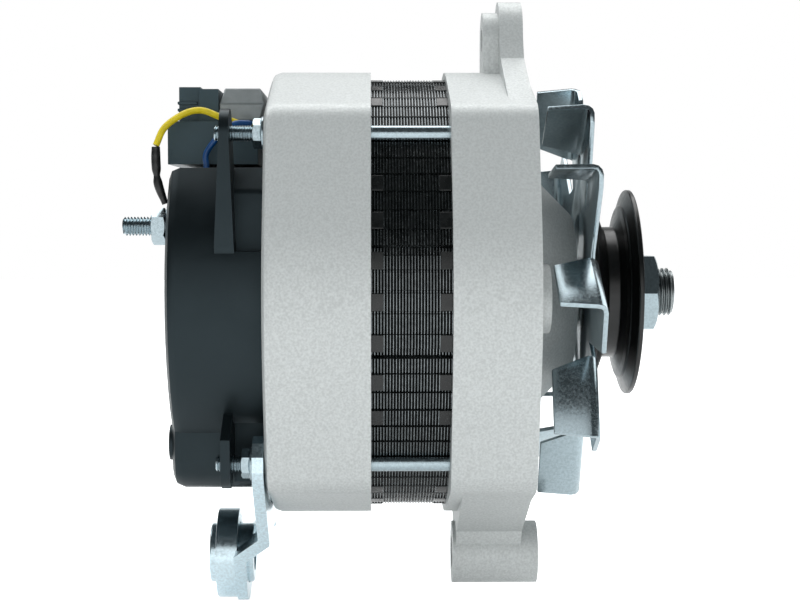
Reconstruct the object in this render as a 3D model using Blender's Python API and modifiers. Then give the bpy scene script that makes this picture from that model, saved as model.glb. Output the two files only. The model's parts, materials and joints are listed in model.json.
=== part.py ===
"""Belt-driven claw-pole alternator: shaft along X, pulley towards +X, adjusting lug towards +Z.

Stations along the shaft are measured back from the shaft's threaded tip, which lies at X = 0.
Flat outlines are drawn in the Y-Z plane and extruded along X, turned pieces are profiles of
(radius, station) points. All lengths are in metres.
"""
import math

import bmesh
import bpy
from mathutils import Matrix, Vector

# Clearances
SEAT = 0.0003
MERGE = 0.00001
PASS = 0.001
SINK_IN = 0.0004

# Shaft, nut, washer, pulley, fan, spacer and front bearing, clamped in this order from the tip
SHAFT_TIP_OVERHANG = 0.0058
THREAD_RADIUS = 0.008
JOURNAL_RADIUS = 0.0085
REAR_JOURNAL_RADIUS = 0.006
SHAFT_TAIL_RADIUS = 0.0046
SHAFT_COLLAR_LENGTH = 0.004
SHAFT_COLLAR_RISE = 0.0015
PULLEY_NUT_FLATS = 0.024
PULLEY_NUT_LENGTH = 0.008
PULLEY_WASHER_RADIUS = 0.0132
PULLEY_WASHER_LENGTH = 0.0017
PULLEY_RADIUS = 0.034
PULLEY_ROOT_RADIUS = 0.0217
PULLEY_ROOT_WIDTH = 0.004
PULLEY_HUB_LENGTH = 0.0139
PULLEY_RIM_LENGTH = 0.0157
PULLEY_LAND_WIDTH = 0.0015
PULLEY_HUB_RADIUS = 0.017
PULLEY_WEB_SETBACK = 0.002
PULLEY_RIM_DISH = 0.0055
PULLEY_RIM_EDGE = 0.0022
FAN_SHEET = 0.0015
FAN_RADIUS = 0.0665
FAN_BLADE_FOOT_RADIUS = 0.0455
FAN_ROOT_RADIUS = 0.036
FAN_BLADE_LEAD = 15.5
FAN_BLADE_DEPTH = 0.0145
FAN_BEND_RADIUS = 0.0032
FAN_BEND_STEPS = 3
FAN_CORNER = 0.003
FAN_ARM_ANGLE = 13.0
FAN_ARM_FLARE = 0.6
FAN_ROOT_MARGIN = 2.5
FAN_FOOT_TAPER = 0.0045
FAN_TIP_TAPER = 0.0012
SPACER_RADIUS = 0.0115
SPACER_LENGTH = 0.0084
FRONT_BEARING_RADIUS = 0.0235
FRONT_BEARING_WIDTH = 0.014
REAR_BEARING_RADIUS = 0.016
REAR_BEARING_WIDTH = 0.010

# Stator, and the housings and bolts that follow its radius
STATOR_RADIUS = 0.070
STATOR_SHOWING = 0.024
STATOR_SEAT = 0.003
YOKE_THICKNESS = 0.0118
SLOT_DEPTH = 0.0092
SLOT_COUNT = 36
SLOT_WIDTH = 0.005
SLOT_LINER = 0.0004
FLUTE_WIDTH = 0.0052
FLUTE_DEPTH = 0.0012
WINDING_SETBACK = 0.0022
WINDING_OVERHANG = 0.0115
WINDING_CROWN = 0.002
HOUSING_RISE = 0.0025
HOUSING_LEDGE = 0.004
LOBE_RADIUS = 0.0095
BOLT_RADIUS = 0.0025
BOLT_RISE = 0.00071
BOLT_NOTCH_CLEARANCE = 0.0005
FRONT_HOUSING_DEPTH = 0.026
REAR_HOUSING_DEPTH = 0.032
END_WALL = 0.004
WALL_OVERLAP = 0.002
HUB_NOSE = 0.0062
NOSE_CLEARANCE = 0.0018
CONE_LENGTH = 0.016
CONE_TIP_RADIUS = 0.026
CONE_BASE_RADIUS = 0.042
CONE_WALL = 0.0045
HUB_WALL = 0.0075
REAR_HUB_WALL = 0.005
REAR_HUB_LIP = 0.003
REAR_EDGE_RADIUS = 0.003
WINDOW_COUNT = 8
WINDOW_RIB_ANGLE = 13.0
WINDOW_HUB_MARGIN = 0.0042
WINDOW_RIM_MARGIN = 0.0038
REAR_WINDOW_COUNT = 6
REAR_WINDOW_RIB_ANGLE = 22.0
REAR_WINDOW_HUB_MARGIN = 0.0102
REAR_WINDOW_RIM_MARGIN = 0.023
BOLT_RECESS_RADIUS = 0.0052
RETAINER_THREAD_RADIUS = 0.0023
RETAINER_THREAD_DEPTH = 0.009

# Lugs and rear strap
TOP_LUG_WIDTH = 0.0126
TOP_LUG_SETBACK = 0.0007
TOP_LUG_RADIUS = 0.013
TOP_LUG_RISE = 0.0105
TOP_LUG_SHOULDER = 0.004
TOP_LUG_WAIST = 0.0035
TOP_LUG_BORE_RADIUS = 0.00425
TOP_LUG_STEP = 0.6
LUG_FOOT_SIDE = 0.0015
LUG_FOOT_RISE = 0.0090
SEAT_OVERLAP = 0.0015
WALL_PAD_MARGIN = 0.0057
WALL_PAD_HALF_HEIGHT = 0.0105
WALL_PAD_RISE = 0.004
PIVOT_DROP = 0.0148
PIVOT_BOSS_RADIUS = 0.0103
PIVOT_BORE_RADIUS = 0.0052
PIVOT_BOSS_REAR = 0.003
PIVOT_BOSS_LENGTH = 0.0282
PIVOT_WEB_RISE = 0.004
PIVOT_WEB_FLARE = 0.003
PIVOT_WEB_SETBACK = 0.0005
STRAP_SHEET = 0.0036
STRAP_DROP = 0.0084
STRAP_TOP_MARGIN = 0.0105
STRAP_BEND_DROP = 0.006
STRAP_EYE_DROP = 0.013
STRAP_FOOT = 0.0187
STRAP_TIP_RADIUS = 0.0085
STRAP_EYE_RADIUS = 0.0158
STRAP_BEND_EASE = 0.0012
STRAP_WAIST_DROP = 0.019
STRAP_WAIST_HALF_WIDTH = 0.012
COLLAR_RADIUS = 0.0148
COLLAR_LENGTH = 0.0066
BUSH_OVERHANG = 0.0018
BUSH_RADIUS = 0.0098
BUSH_BORE_RADIUS = 0.0061
BUSH_LENGTH = 0.0145

# Through bolts and nuts
BOLT_HEAD_FLATS = 0.008
BOLT_HEAD_LENGTH = 0.0035
BOLT_HEAD_RECESS = 0.0045
BOLT_TAIL = 0.0152
NUT_FLATS = 0.008
NUT_LENGTH = 0.0032
NUT_FLANGE = 0.0009
NUT_FLANGE_RADIUS = 0.0052

# Rear cover
COVER_STEP = 0.012
COVER_TOP = 0.040
COVER_DEPTH = 0.0297
COVER_WALL = 0.0024
COVER_EDGE = 0.0035
CHIN_SETBACK = 0.010
CHIN_DROP = 0.0025
CHIN_CORNER = 0.010
EAR_SETBACK = 0.0106
EAR_THICKNESS = 0.0027
EAR_TIP_RADIUS = 0.0076
EAR_TAPER = 1.1
EAR_NECK = 0.019
EAR_ROOT = 0.005
EAR_HEEL = 0.0035
EAR_INSET = 0.0021
POCKET_SETBACK = 0.0015
POCKET_FLOOR = 0.0145
LOWER_POCKET_MARGIN = 0.0115
COVER_SLOT_COUNT = 12
COVER_SLOT_SIZE = (0.012, 0.0026)
COVER_SLOT_CIRCLE = 0.022
COVER_PLUG_RADIUS = 0.0056
COVER_PLUG_RISE = 0.0012
COVER_PLUG_PLACE = (-0.031, -0.046)
HOLDER_CLEARANCE = 0.0006
LEAD_HOLE_RADIUS = 0.0016

# Output stud on the rear cover
STUD_SETBACK = 0.00566
STUD_ANGLE = 147.85
STUD_RADIUS = 0.003
STUD_CLEARANCE = 0.0012
STUD_REACH = 0.015
STUD_HEAD_FLATS = 0.009
STUD_HEAD_LENGTH = 0.003
OUTPUT_NUT_FLATS = 0.010
OUTPUT_NUT_LENGTH = 0.0043
TERMINAL_SHEET = 0.001
TERMINAL_RADIUS = 0.0056
TERMINAL_TAIL = (0.0016, 0.0063)
THREAD_POINT = (0.0007, 0.0008)

# Leads from the regulator
LEAD_STEP = 0.0026
YELLOW_RADIUS = 0.00105
SLEEVE_RADIUS = 0.00145
BLUE_RADIUS = 0.00095
LEAD_EXIT_SETBACK = 0.0058
LEAD_EXIT_DROP = 0.0008
LEAD_STAND_OFF = 0.0021
LEAD_SPREAD = 0.0006
BLUE_EXIT_SETBACK = 0.0024
YELLOW_ARCH_RISE = 0.0038
YELLOW_ARCH_REACH = 0.0115
YELLOW_FALL_REACH = 0.0225
YELLOW_FALL = 0.0028
SLEEVE_OVERHANG = 0.0047
SLEEVE_LENGTH = 0.0125
SLEEVE_FOOT = (0.0019, 0.0070)
BLUE_ENTRY_SETBACK = 0.0103
BLUE_STAND_OFF = 0.005
BLUE_DIVE = 0.005

# Rotor inside
AIR_GAP = 0.0005
POLE_LENGTH = 0.041
POLE_DISC = 0.0105
CLAW_THICKNESS = 0.008
CLAW_COUNT = 6
CLAW_CHAMFER = 0.0015
CLAW_TIP_SETBACK = 0.0035
CLAW_TIP_BEVEL = 0.003
CLAW_ROOT_ANGLE = 19.0
CLAW_TIP_ANGLE = 8.0
COIL_BORE_SHARE = 0.42
COIL_CLEARANCE = 0.0008
COIL_WALL = 0.0016
COIL_FLANGE_RISE = 0.0012
RING_SLEEVE_RADIUS = 0.0064
SLIP_RING_RADIUS = 0.0085
SLIP_RING_WIDTH = 0.007
SLIP_RING_GAP = 0.0028
SLIP_RING_SETBACK = 0.0037
SLEEVE_MARGIN = 0.0018

# Brushes and their holder
BRUSH_WIDTH = 0.005
BRUSH_DEPTH = 0.0064
BRUSH_LENGTH = 0.016
BRUSH_SPRING_RADIUS = 0.0019
BRUSH_SPRING_WIRE = 0.00035
BRUSH_SPRING_TURNS = 5
BRUSH_SPRING_SIDES = 6
HOLDER_FLOOR = 0.0125
HOLDER_HALF_WIDTH = 0.0062
HOLDER_END_WALL = 0.0014
HOLDER_ROOF = 0.0022
HOLDER_RISE = 0.0013

# Regulator on top of the cover
CASE_LENGTH = 0.0285
CASE_OVERHANG = 0.0024
CASE_HEIGHT = 0.0137
CASE_HALF_WIDTH = 0.024
SOCKET_LENGTH = 0.0067
SOCKET_WALL = 0.0009
SOCKET_SETBACK = 0.0030
SOCKET_HEIGHT = 0.0112
SOCKET_END_WALL = 0.0022
SOCKET_FLOOR = 0.003
SOCKET_RIB_HEIGHTS = (0.0034, 0.0056)
SOCKET_RIB = 0.0009
SOCKET_RIB_RISE = 0.0004
FRAME_LENGTH = 0.0062
FRAME_HEIGHT = 0.0104
UPPER_HALF_WIDTH = 0.018
SINK_LENGTH = 0.0128
SINK_HEIGHTS = (0.0106, 0.0062)
SINK_SIDE_RISE = 0.003
SINK_NOSE = 0.0014
SINK_BROW = 0.0025

# Rectifier in the cover
PLATE_SHEET = 0.0025
PLATE_SETBACK = 0.011
PLATE_WIDTH = 0.018
PLATE_OPENING = 39.5
BOARD_WIDTH = 0.0034
BOARD_OPENING = 43.5
POSITIVE_SETBACK = 0.0098
DIODE_RADIUS = 0.0055
DIODE_LENGTH = 0.006
DIODE_SETBACK = 0.0108
DIODE_ANGLES = (-118.0, -70.0, -8.0)
LEG_RADIUS = 0.0007
LEG_LENGTH = 0.003
NEGATIVE_DIODE_LENGTH = 0.0046
NEGATIVE_LEG_LENGTH = 0.0018

# Bearings: ball radius, count, and the shares of it that the lips and the cage take
FRONT_BALL_RADIUS = 0.0041
REAR_BALL_RADIUS = 0.0028
BALL_COUNT = 7
LIP_SHARE = 0.72
CAGE_SHARES = (0.28, 0.55)
RETAINER_SHEET = 0.002
RETAINER_SCREW_RADIUS = 0.002
RETAINER_SCREW_LENGTH = 0.008
RETAINER_HEAD_RADIUS = 0.0036
RETAINER_OVERLAP = 0.0025

# Radii and places that follow from the stator
HOUSING_RADIUS = STATOR_RADIUS + HOUSING_RISE
HOUSING_BORE = STATOR_RADIUS - HOUSING_LEDGE
BOLT_CIRCLE = STATOR_RADIUS + BOLT_RISE
BOLT_OFFSET = BOLT_CIRCLE / math.sqrt(2)
SLOT_FLOOR = STATOR_RADIUS - YOKE_THICKNESS
STATOR_BORE = SLOT_FLOOR - SLOT_DEPTH
POLE_RADIUS = STATOR_BORE - AIR_GAP
COIL_BORE = POLE_RADIUS * COIL_BORE_SHARE
COIL_FLANGE_RADIUS = POLE_RADIUS - CLAW_THICKNESS - COIL_CLEARANCE
WINDING_RADIUS = COIL_FLANGE_RADIUS - COIL_FLANGE_RISE
REAR_HUB_RADIUS = REAR_BEARING_RADIUS + REAR_HUB_WALL
FRONT_WINDOW_RADII = (CONE_BASE_RADIUS + WINDOW_HUB_MARGIN, HOUSING_BORE - WINDOW_RIM_MARGIN)
REAR_WINDOW_RADII = (REAR_BEARING_RADIUS + REAR_WINDOW_HUB_MARGIN, HOUSING_BORE - REAR_WINDOW_RIM_MARGIN)
TOP_LUG_HEIGHT = HOUSING_RADIUS + TOP_LUG_RISE
PIVOT_HEIGHT = -HOUSING_RADIUS - PIVOT_DROP
WALL_PAD_REACH = HOUSING_BORE - WALL_PAD_MARGIN
STRAP_TOP = -BOLT_OFFSET + STRAP_TOP_MARGIN
STRAP_BEND_HEIGHT = -HOUSING_RADIUS - STRAP_BEND_DROP
STRAP_EYE_TOP = -HOUSING_RADIUS - STRAP_EYE_DROP
STRAP_END = PIVOT_HEIGHT - STRAP_FOOT
COVER_RADIUS = STATOR_RADIUS - COVER_STEP
CHIN_HALF_WIDTH = BOLT_OFFSET - CHIN_SETBACK
CHIN_FLOOR = -COVER_RADIUS - CHIN_DROP
POCKET_SIDE = BOLT_OFFSET - POCKET_SETBACK
LOWER_POCKET_TOP = -BOLT_OFFSET + LOWER_POCKET_MARGIN
PLATE_RADII = (COVER_RADIUS - PLATE_SETBACK - PLATE_WIDTH, COVER_RADIUS - PLATE_SETBACK)
BOARD_RADII = (PLATE_RADII[1] - BOARD_WIDTH, PLATE_RADII[1])
DIODE_PITCH_RADIUS = PLATE_RADII[1] - DIODE_SETBACK
STUD_CIRCLE = PLATE_RADII[1] - STUD_SETBACK
STUD_PLACE = (STUD_CIRCLE * math.cos(math.radians(STUD_ANGLE)),
              STUD_CIRCLE * math.sin(math.radians(STUD_ANGLE)))

# Stations along the shaft, worked out from the stack of clamped pieces
NUT_FACE = -SHAFT_TIP_OVERHANG
WASHER_FACE = NUT_FACE - PULLEY_NUT_LENGTH - SEAT
PULLEY_FACE = WASHER_FACE - PULLEY_WASHER_LENGTH - SEAT
PULLEY_BACK = PULLEY_FACE - PULLEY_HUB_LENGTH
FAN_FACE = PULLEY_BACK - SEAT
SPACER_FACE = FAN_FACE - FAN_SHEET - SEAT
FRONT_BEARING_FACE = SPACER_FACE - SPACER_LENGTH - SEAT
FRONT_BEARING_BACK = FRONT_BEARING_FACE - FRONT_BEARING_WIDTH
HUB_END = FRONT_BEARING_FACE + SEAT + HUB_NOSE
FRONT_RIM = HUB_END - CONE_LENGTH
FRONT_JOINT = FRONT_RIM - FRONT_HOUSING_DEPTH
REAR_JOINT = FRONT_JOINT - STATOR_SHOWING
REAR_FACE = REAR_JOINT - REAR_HOUSING_DEPTH
STATOR_FRONT = FRONT_JOINT + STATOR_SEAT
STATOR_REAR = REAR_JOINT - STATOR_SEAT
ROTOR_MIDDLE = (STATOR_FRONT + STATOR_REAR) / 2
REAR_BEARING_FACE = REAR_FACE + END_WALL + REAR_HUB_WALL
REAR_BEARING_BACK = REAR_BEARING_FACE - REAR_BEARING_WIDTH
REAR_HUB_BACK = REAR_BEARING_BACK - SEAT - COVER_WALL
COVER_FRONT = REAR_FACE - SEAT
COVER_BACK = COVER_FRONT - COVER_DEPTH
EAR_FACE = REAR_FACE - EAR_SETBACK
SLEEVE_FRONT = REAR_BEARING_BACK - SLIP_RING_SETBACK + SLEEVE_MARGIN
INNER_RING_FRONT = REAR_BEARING_BACK - SLIP_RING_SETBACK
OUTER_RING_FRONT = INNER_RING_FRONT - SLIP_RING_WIDTH - SLIP_RING_GAP
SHAFT_TAIL = OUTER_RING_FRONT - SLIP_RING_WIDTH - SLEEVE_MARGIN
BRUSH_TIP = SLIP_RING_RADIUS + SEAT
BRUSH_TOP = BRUSH_TIP + BRUSH_LENGTH
HOLDER_TOP = COVER_TOP + HOLDER_RISE
CASE_FLOOR = HOLDER_TOP + SEAT
CASE_TOP = CASE_FLOOR + CASE_HEIGHT
CASE_REAR = COVER_BACK - CASE_OVERHANG
CASE_FRONT = CASE_REAR + CASE_LENGTH
NEGATIVE_FRONT = REAR_FACE - SEAT
NEGATIVE_BACK = NEGATIVE_FRONT - PLATE_SHEET
POSITIVE_FRONT = REAR_FACE - POSITIVE_SETBACK
POSITIVE_BACK = POSITIVE_FRONT - PLATE_SHEET
STRAP_FRONT = REAR_FACE - SEAT
STRAP_BACK = STRAP_FRONT - STRAP_SHEET
EYE_BACK = STRAP_BACK - STRAP_DROP
PIVOT_BOSS_BACK = FRONT_JOINT + PIVOT_BOSS_REAR
STUD_END = COVER_BACK - STUD_REACH
BLUE_ENTRY_STATION = COVER_BACK + BLUE_ENTRY_SETBACK
BLUE_ENTRY_SIDE = CASE_HALF_WIDTH + BLUE_STAND_OFF

ALONG_SHAFT = (math.pi / 2, 0.0, math.pi / 2)

FINISHES = {
    "cast aluminium": ((0.62, 0.64, 0.64), 0.55, 0.6),
    "zinc-plated steel": ((0.60, 0.66, 0.68), 0.35, 0.9),
    "black enamel": ((0.02, 0.02, 0.022), 0.25, 0.1),
    "black nylon": ((0.05, 0.055, 0.06), 0.45, 0.0),
    "black lamination": ((0.05, 0.05, 0.05), 0.5, 0.3),
    "bright steel": ((0.55, 0.55, 0.56), 0.3, 1.0),
    "copper": ((0.72, 0.30, 0.12), 0.35, 0.8),
    "enamelled wire": ((0.45, 0.14, 0.05), 0.4, 0.4),
    "carbon": ((0.06, 0.06, 0.065), 0.5, 0.2),
    "grey aluminium": ((0.42, 0.44, 0.44), 0.45, 0.5),
    "yellow lead": ((0.80, 0.62, 0.10), 0.5, 0.0),
    "blue lead": ((0.03, 0.16, 0.42), 0.5, 0.0),
    "brown board": ((0.28, 0.16, 0.08), 0.5, 0.0),
}


def clear_scene():
    """Remove every object and make the two collections."""
    for obj in list(bpy.data.objects):
        bpy.data.objects.remove(obj)
    for name in ("alternator", "cutters"):
        collection = bpy.data.collections.new(name)
        bpy.context.scene.collection.children.link(collection)


def add_object(name, data, location=(0.0, 0.0, 0.0), rotation=(0.0, 0.0, 0.0)):
    """A new object in the alternator's collection."""
    obj = bpy.data.objects.new(name, data)
    bpy.data.collections["alternator"].objects.link(obj)
    obj.location = location
    obj.rotation_euler = rotation
    return obj


def paint(obj, finish):
    """Give a piece its own Principled material."""
    colour, roughness, metallic = FINISHES[finish]
    material = bpy.data.materials.new(obj.name)
    material.use_nodes = True
    shader = material.node_tree.nodes["Principled BSDF"]
    shader.inputs["Base Color"].default_value = (*colour, 1.0)
    shader.inputs["Roughness"].default_value = roughness
    shader.inputs["Metallic"].default_value = metallic
    obj.data.materials.clear()
    obj.data.materials.append(material)
    return obj


def combine(obj, other, operation):
    """Boolean of a piece with another shape, which moves to the cutters."""
    other.hide_render = True
    other.display_type = "WIRE"
    if other.name in bpy.data.collections["alternator"].objects:
        bpy.data.collections["alternator"].objects.unlink(other)
        bpy.data.collections["cutters"].objects.link(other)
    modifier = obj.modifiers.new(other.name, "BOOLEAN")
    modifier.operation = operation
    modifier.object = other
    return obj


def cut(obj, cutter):
    """Take a shape away from a piece."""
    return combine(obj, cutter, "DIFFERENCE")


def join(obj, other):
    """Add a shape to a piece."""
    return combine(obj, other, "UNION")


def merge_flats(obj):
    """Dissolve the seams that Booleans leave inside flat faces."""
    dissolve = obj.modifiers.new("Merge flats", "DECIMATE")
    dissolve.decimate_type = "DISSOLVE"
    dissolve.angle_limit = math.radians(0.2)
    return obj


def arc(radius, start, stop, steps, centre=(0.0, 0.0)):
    """Points on an arc in the Y-Z plane, from start to stop in degrees."""
    points = []
    for step in range(steps + 1):
        angle = math.radians(start + (stop - start) * step / steps)
        points.append((centre[0] + radius * math.cos(angle), centre[1] + radius * math.sin(angle)))
    return points


def circle(radius, steps=32, centre=(0.0, 0.0)):
    """A closed ring of points."""
    return arc(radius, 0.0, 360.0, steps, centre)[:-1]


def polar(radius, angle):
    """A point at a radius and an angle in degrees."""
    return (radius * math.cos(math.radians(angle)), radius * math.sin(math.radians(angle)))


def turned(name, profile, steps=32, closed=True, centre=(0.0, 0.0)):
    """A profile of (radius, station) points turned round an axis along X through the centre."""
    count = len(profile)
    edges = [(index, index + 1) for index in range(count - 1)]
    if closed:
        edges.append((count - 1, 0))
    mesh = bpy.data.meshes.new(name)
    mesh.from_pydata([(radius, 0.0, station) for radius, station in profile], edges, [])
    obj = add_object(name, mesh, (0.0, centre[0], centre[1]), ALONG_SHAFT)
    screw = obj.modifiers.new("Turn", "SCREW")
    screw.steps = steps
    screw.render_steps = steps
    screw.use_merge_vertices = True
    screw.merge_threshold = MERGE
    return obj


def rod(name, radius, front, back, steps=16, centre=(0.0, 0.0)):
    """A plain cylinder along X between two stations."""
    mesh = bpy.data.meshes.new(name)
    shape = bmesh.new()
    bmesh.ops.create_cone(shape, cap_ends=True, segments=steps, radius1=radius, radius2=radius,
                          depth=front - back)
    shape.to_mesh(mesh)
    shape.free()
    return add_object(name, mesh, ((front + back) / 2, centre[0], centre[1]), ALONG_SHAFT)


def hexagon(name, flats, front, back, centre=(0.0, 0.0), turn=0.0):
    """A hexagonal prism along X, measured across its flats."""
    obj = rod(name, flats / math.sqrt(3), front, back, 6, centre)
    obj.data.transform(Matrix.Rotation(math.radians(turn), 4, "Z"))
    return obj


def box(name, low, high):
    """A block between two corners."""
    mesh = bpy.data.meshes.new(name)
    shape = bmesh.new()
    bmesh.ops.create_cube(shape, size=1.0)
    size = Vector(high) - Vector(low)
    bmesh.ops.scale(shape, vec=size, verts=shape.verts)
    shape.to_mesh(mesh)
    shape.free()
    return add_object(name, mesh, (Vector(low) + Vector(high)) / 2)


def meshed(obj):
    """A curve turned into a mesh object with its caps welded."""
    bpy.context.view_layer.update()
    depsgraph = bpy.context.evaluated_depsgraph_get()
    mesh = bpy.data.meshes.new_from_object(obj.evaluated_get(depsgraph))
    shape = bmesh.new()
    shape.from_mesh(mesh)
    bmesh.ops.remove_doubles(shape, verts=shape.verts, dist=MERGE)
    shape.to_mesh(mesh)
    shape.free()
    name = obj.name
    place = obj.matrix_world.copy()
    bpy.data.objects.remove(obj)
    result = add_object(name, mesh)
    result.name = name
    result.matrix_world = place
    return result


def extruded(name, outlines, front, back, across=False):
    """Flat outlines, the later ones holes, made into a plate between two stations.

    The outlines lie in the Y-Z plane and the plate is along X, or, across the shaft, the outlines
    are (station, height) points and the plate lies between two values of Y.
    """
    curve = bpy.data.curves.new(name, "CURVE")
    curve.dimensions = "2D"
    curve.fill_mode = "BOTH"
    curve.extrude = abs(front - back) / 2
    for outline in outlines:
        spline = curve.splines.new("POLY")
        spline.points.add(len(outline) - 1)
        for point, place in zip(spline.points, outline):
            point.co = (place[0], place[1], 0.0, 1.0)
        spline.use_cyclic_u = True
    middle = (front + back) / 2
    if across:
        return meshed(add_object(name, curve, (0.0, middle, 0.0), (math.pi / 2, 0.0, 0.0)))
    return meshed(add_object(name, curve, (middle, 0.0, 0.0), ALONG_SHAFT))


def wire(name, route, radius, sides=2):
    """A round lead along a list of points."""
    curve = bpy.data.curves.new(name, "CURVE")
    curve.dimensions = "3D"
    curve.bevel_depth = radius
    curve.bevel_resolution = sides
    curve.use_fill_caps = True
    spline = curve.splines.new("POLY")
    spline.points.add(len(route) - 1)
    for point, place in zip(spline.points, route):
        point.co = (*place, 1.0)
    return meshed(add_object(name, curve))


def smooth_route(anchors, spacing):
    """Points at about even spacing on a Catmull-Rom curve through the anchors."""
    places = [Vector(anchor) for anchor in anchors]
    places = [places[0] * 2 - places[1]] + places + [places[-1] * 2 - places[-2]]
    route = [places[1]]
    for before, start, stop, after in zip(places, places[1:], places[2:], places[3:]):
        count = max(1, round((stop - start).length / spacing))
        for step in range(1, count + 1):
            t = step / count
            route.append(0.5 * (2 * start + (stop - before) * t
                                + (2 * before - 5 * start + 4 * stop - after) * t * t
                                + (3 * start - before - 3 * stop + after) * t ** 3))
    return route


def shade_round(obj, angle=35.0):
    """Smooth shading between faces that meet at a small angle."""
    obj.data.shade_smooth()
    obj.data.set_sharp_from_angle(angle=math.radians(angle))
    return obj


def housing_outline():
    """Round casting with a lobe round each through bolt and straight tangents between."""
    lean = math.degrees(math.acos((HOUSING_RADIUS - LOBE_RADIUS) / BOLT_CIRCLE))
    points = []
    for quarter in range(4):
        middle = 45.0 + 90.0 * quarter
        points += arc(HOUSING_RADIUS, middle - 90.0 + lean, middle - lean, 6)
        points += arc(LOBE_RADIUS, middle - lean, middle + lean, 5, polar(BOLT_CIRCLE, middle))
    return points


def sector(radii, middle, spread, steps=4):
    """A ring sector with even side walls."""
    inner, outer = radii
    half = spread / 2
    trim = half - math.degrees(math.radians(half) * inner / outer)
    return (arc(outer, middle - half + trim * 0.4, middle + half - trim * 0.4, steps)
            + arc(inner, middle + half, middle - half, max(2, steps - 1)))


def bolt_places():
    """The four through bolts, from the upper right one round."""
    return [polar(BOLT_CIRCLE, 45.0 + 90.0 * quarter) for quarter in range(4)]


def bevel_outer_edge(obj, width, segments, towards, least_radius):
    """Round the outer edge of a plate's end that faces the given way along its own Z axis."""
    shape = bmesh.new()
    shape.from_mesh(obj.data)
    level = max(towards * vert.co.z for vert in shape.verts)
    edges = []
    for edge in shape.edges:
        on_end = all(abs(towards * vert.co.z - level) < MERGE for vert in edge.verts)
        outside = all(math.hypot(vert.co.x, vert.co.y) > least_radius for vert in edge.verts)
        turns = len(edge.link_faces) == 2 and edge.calc_face_angle() > 0.5
        if on_end and outside and turns:
            edges.append(edge)
    bmesh.ops.bevel(shape, geom=edges, offset=width, segments=segments, affect="EDGES", profile=0.5)
    shape.to_mesh(obj.data)
    shape.free()
    return obj


def front_housing():
    """Drive-end casting: lobed rim, ribbed front wall, conical hub and two lugs."""
    housing = extruded("front_housing", [housing_outline(), circle(HOUSING_BORE, 36)],
                       FRONT_RIM, FRONT_JOINT)
    pitch = 360.0 / WINDOW_COUNT
    windows = [sector(FRONT_WINDOW_RADII, pitch * (index + 0.5), pitch - WINDOW_RIB_ANGLE)
               for index in range(WINDOW_COUNT)]
    wall_back = FRONT_RIM - END_WALL
    wall_edges = [circle(HOUSING_BORE + WALL_OVERLAP, 36), circle(CONE_BASE_RADIUS - WALL_OVERLAP, 32)]
    join(housing, extruded("front_wall", wall_edges + windows, FRONT_RIM - SINK_IN, wall_back))
    seat = FRONT_BEARING_RADIUS + SEAT
    hub_radius = FRONT_BEARING_RADIUS + HUB_WALL
    cone_back = wall_back + SINK_IN
    nose_bore = SPACER_RADIUS + NOSE_CLEARANCE
    hub = [
        (nose_bore, HUB_END),
        (CONE_TIP_RADIUS, HUB_END),
        (CONE_BASE_RADIUS, FRONT_RIM),
        (CONE_BASE_RADIUS, cone_back),
        (CONE_BASE_RADIUS - CONE_WALL, cone_back),
        (hub_radius, cone_back + CONE_BASE_RADIUS - CONE_WALL - hub_radius),
        (hub_radius, FRONT_BEARING_BACK),
        (seat, FRONT_BEARING_BACK),
        (seat, FRONT_BEARING_FACE + SEAT),
        (nose_bore, FRONT_BEARING_FACE + SEAT),
    ]
    join(housing, turned("front_hub", hub, 30))
    join(housing, top_lug())
    join(housing, pivot_lug())
    for side in (-1, 1):
        join(housing, wall_pad(side))
    cut(housing, rod("stator_seat_front", STATOR_RADIUS + SEAT, STATOR_FRONT + SEAT,
                     FRONT_JOINT - PASS, 48))
    for index, place in enumerate(bolt_places()):
        cut(housing, rod(f"front_bolt_hole_{index}", BOLT_RADIUS + SEAT, FRONT_RIM + PASS,
                         FRONT_JOINT - PASS, 10, place))
        cut(housing, rod(f"bolt_head_recess_{index}", BOLT_RECESS_RADIUS, FRONT_RIM + PASS,
                         FRONT_RIM - BOLT_HEAD_RECESS, 10, place))
    for index, place in enumerate(retainer_screw_places()):
        cut(housing, rod(f"retainer_thread_{index}", RETAINER_THREAD_RADIUS,
                         FRONT_BEARING_BACK + RETAINER_THREAD_DEPTH, FRONT_BEARING_BACK - PASS, 8, place))
    cut(housing, rod("top_lug_bore", TOP_LUG_BORE_RADIUS, FRONT_RIM + PASS,
                     FRONT_RIM - TOP_LUG_SETBACK - TOP_LUG_WIDTH - PASS, 16, (0.0, TOP_LUG_HEIGHT)))
    cut(housing, rod("pivot_bore", PIVOT_BORE_RADIUS, PIVOT_BOSS_BACK + PIVOT_BOSS_LENGTH + PASS,
                     PIVOT_BOSS_BACK - PASS, 20, (0.0, PIVOT_HEIGHT)))
    merge_flats(housing)
    paint(housing, "cast aluminium")
    return shade_round(housing)


def lobe_to_lobe(upper):
    """The seat of a lug on the rim: from one lobe round the bore to the other."""
    sign = 1 if upper else -1
    side = BOLT_OFFSET + LUG_FOOT_SIDE
    height = BOLT_OFFSET + LUG_FOOT_RISE
    ring = arc(HOUSING_BORE + SEAT_OVERLAP, 135.0, 45.0, 8)
    return [(-side, sign * height)] + [(y, sign * z) for y, z in ring] + [(side, sign * height)]


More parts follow.
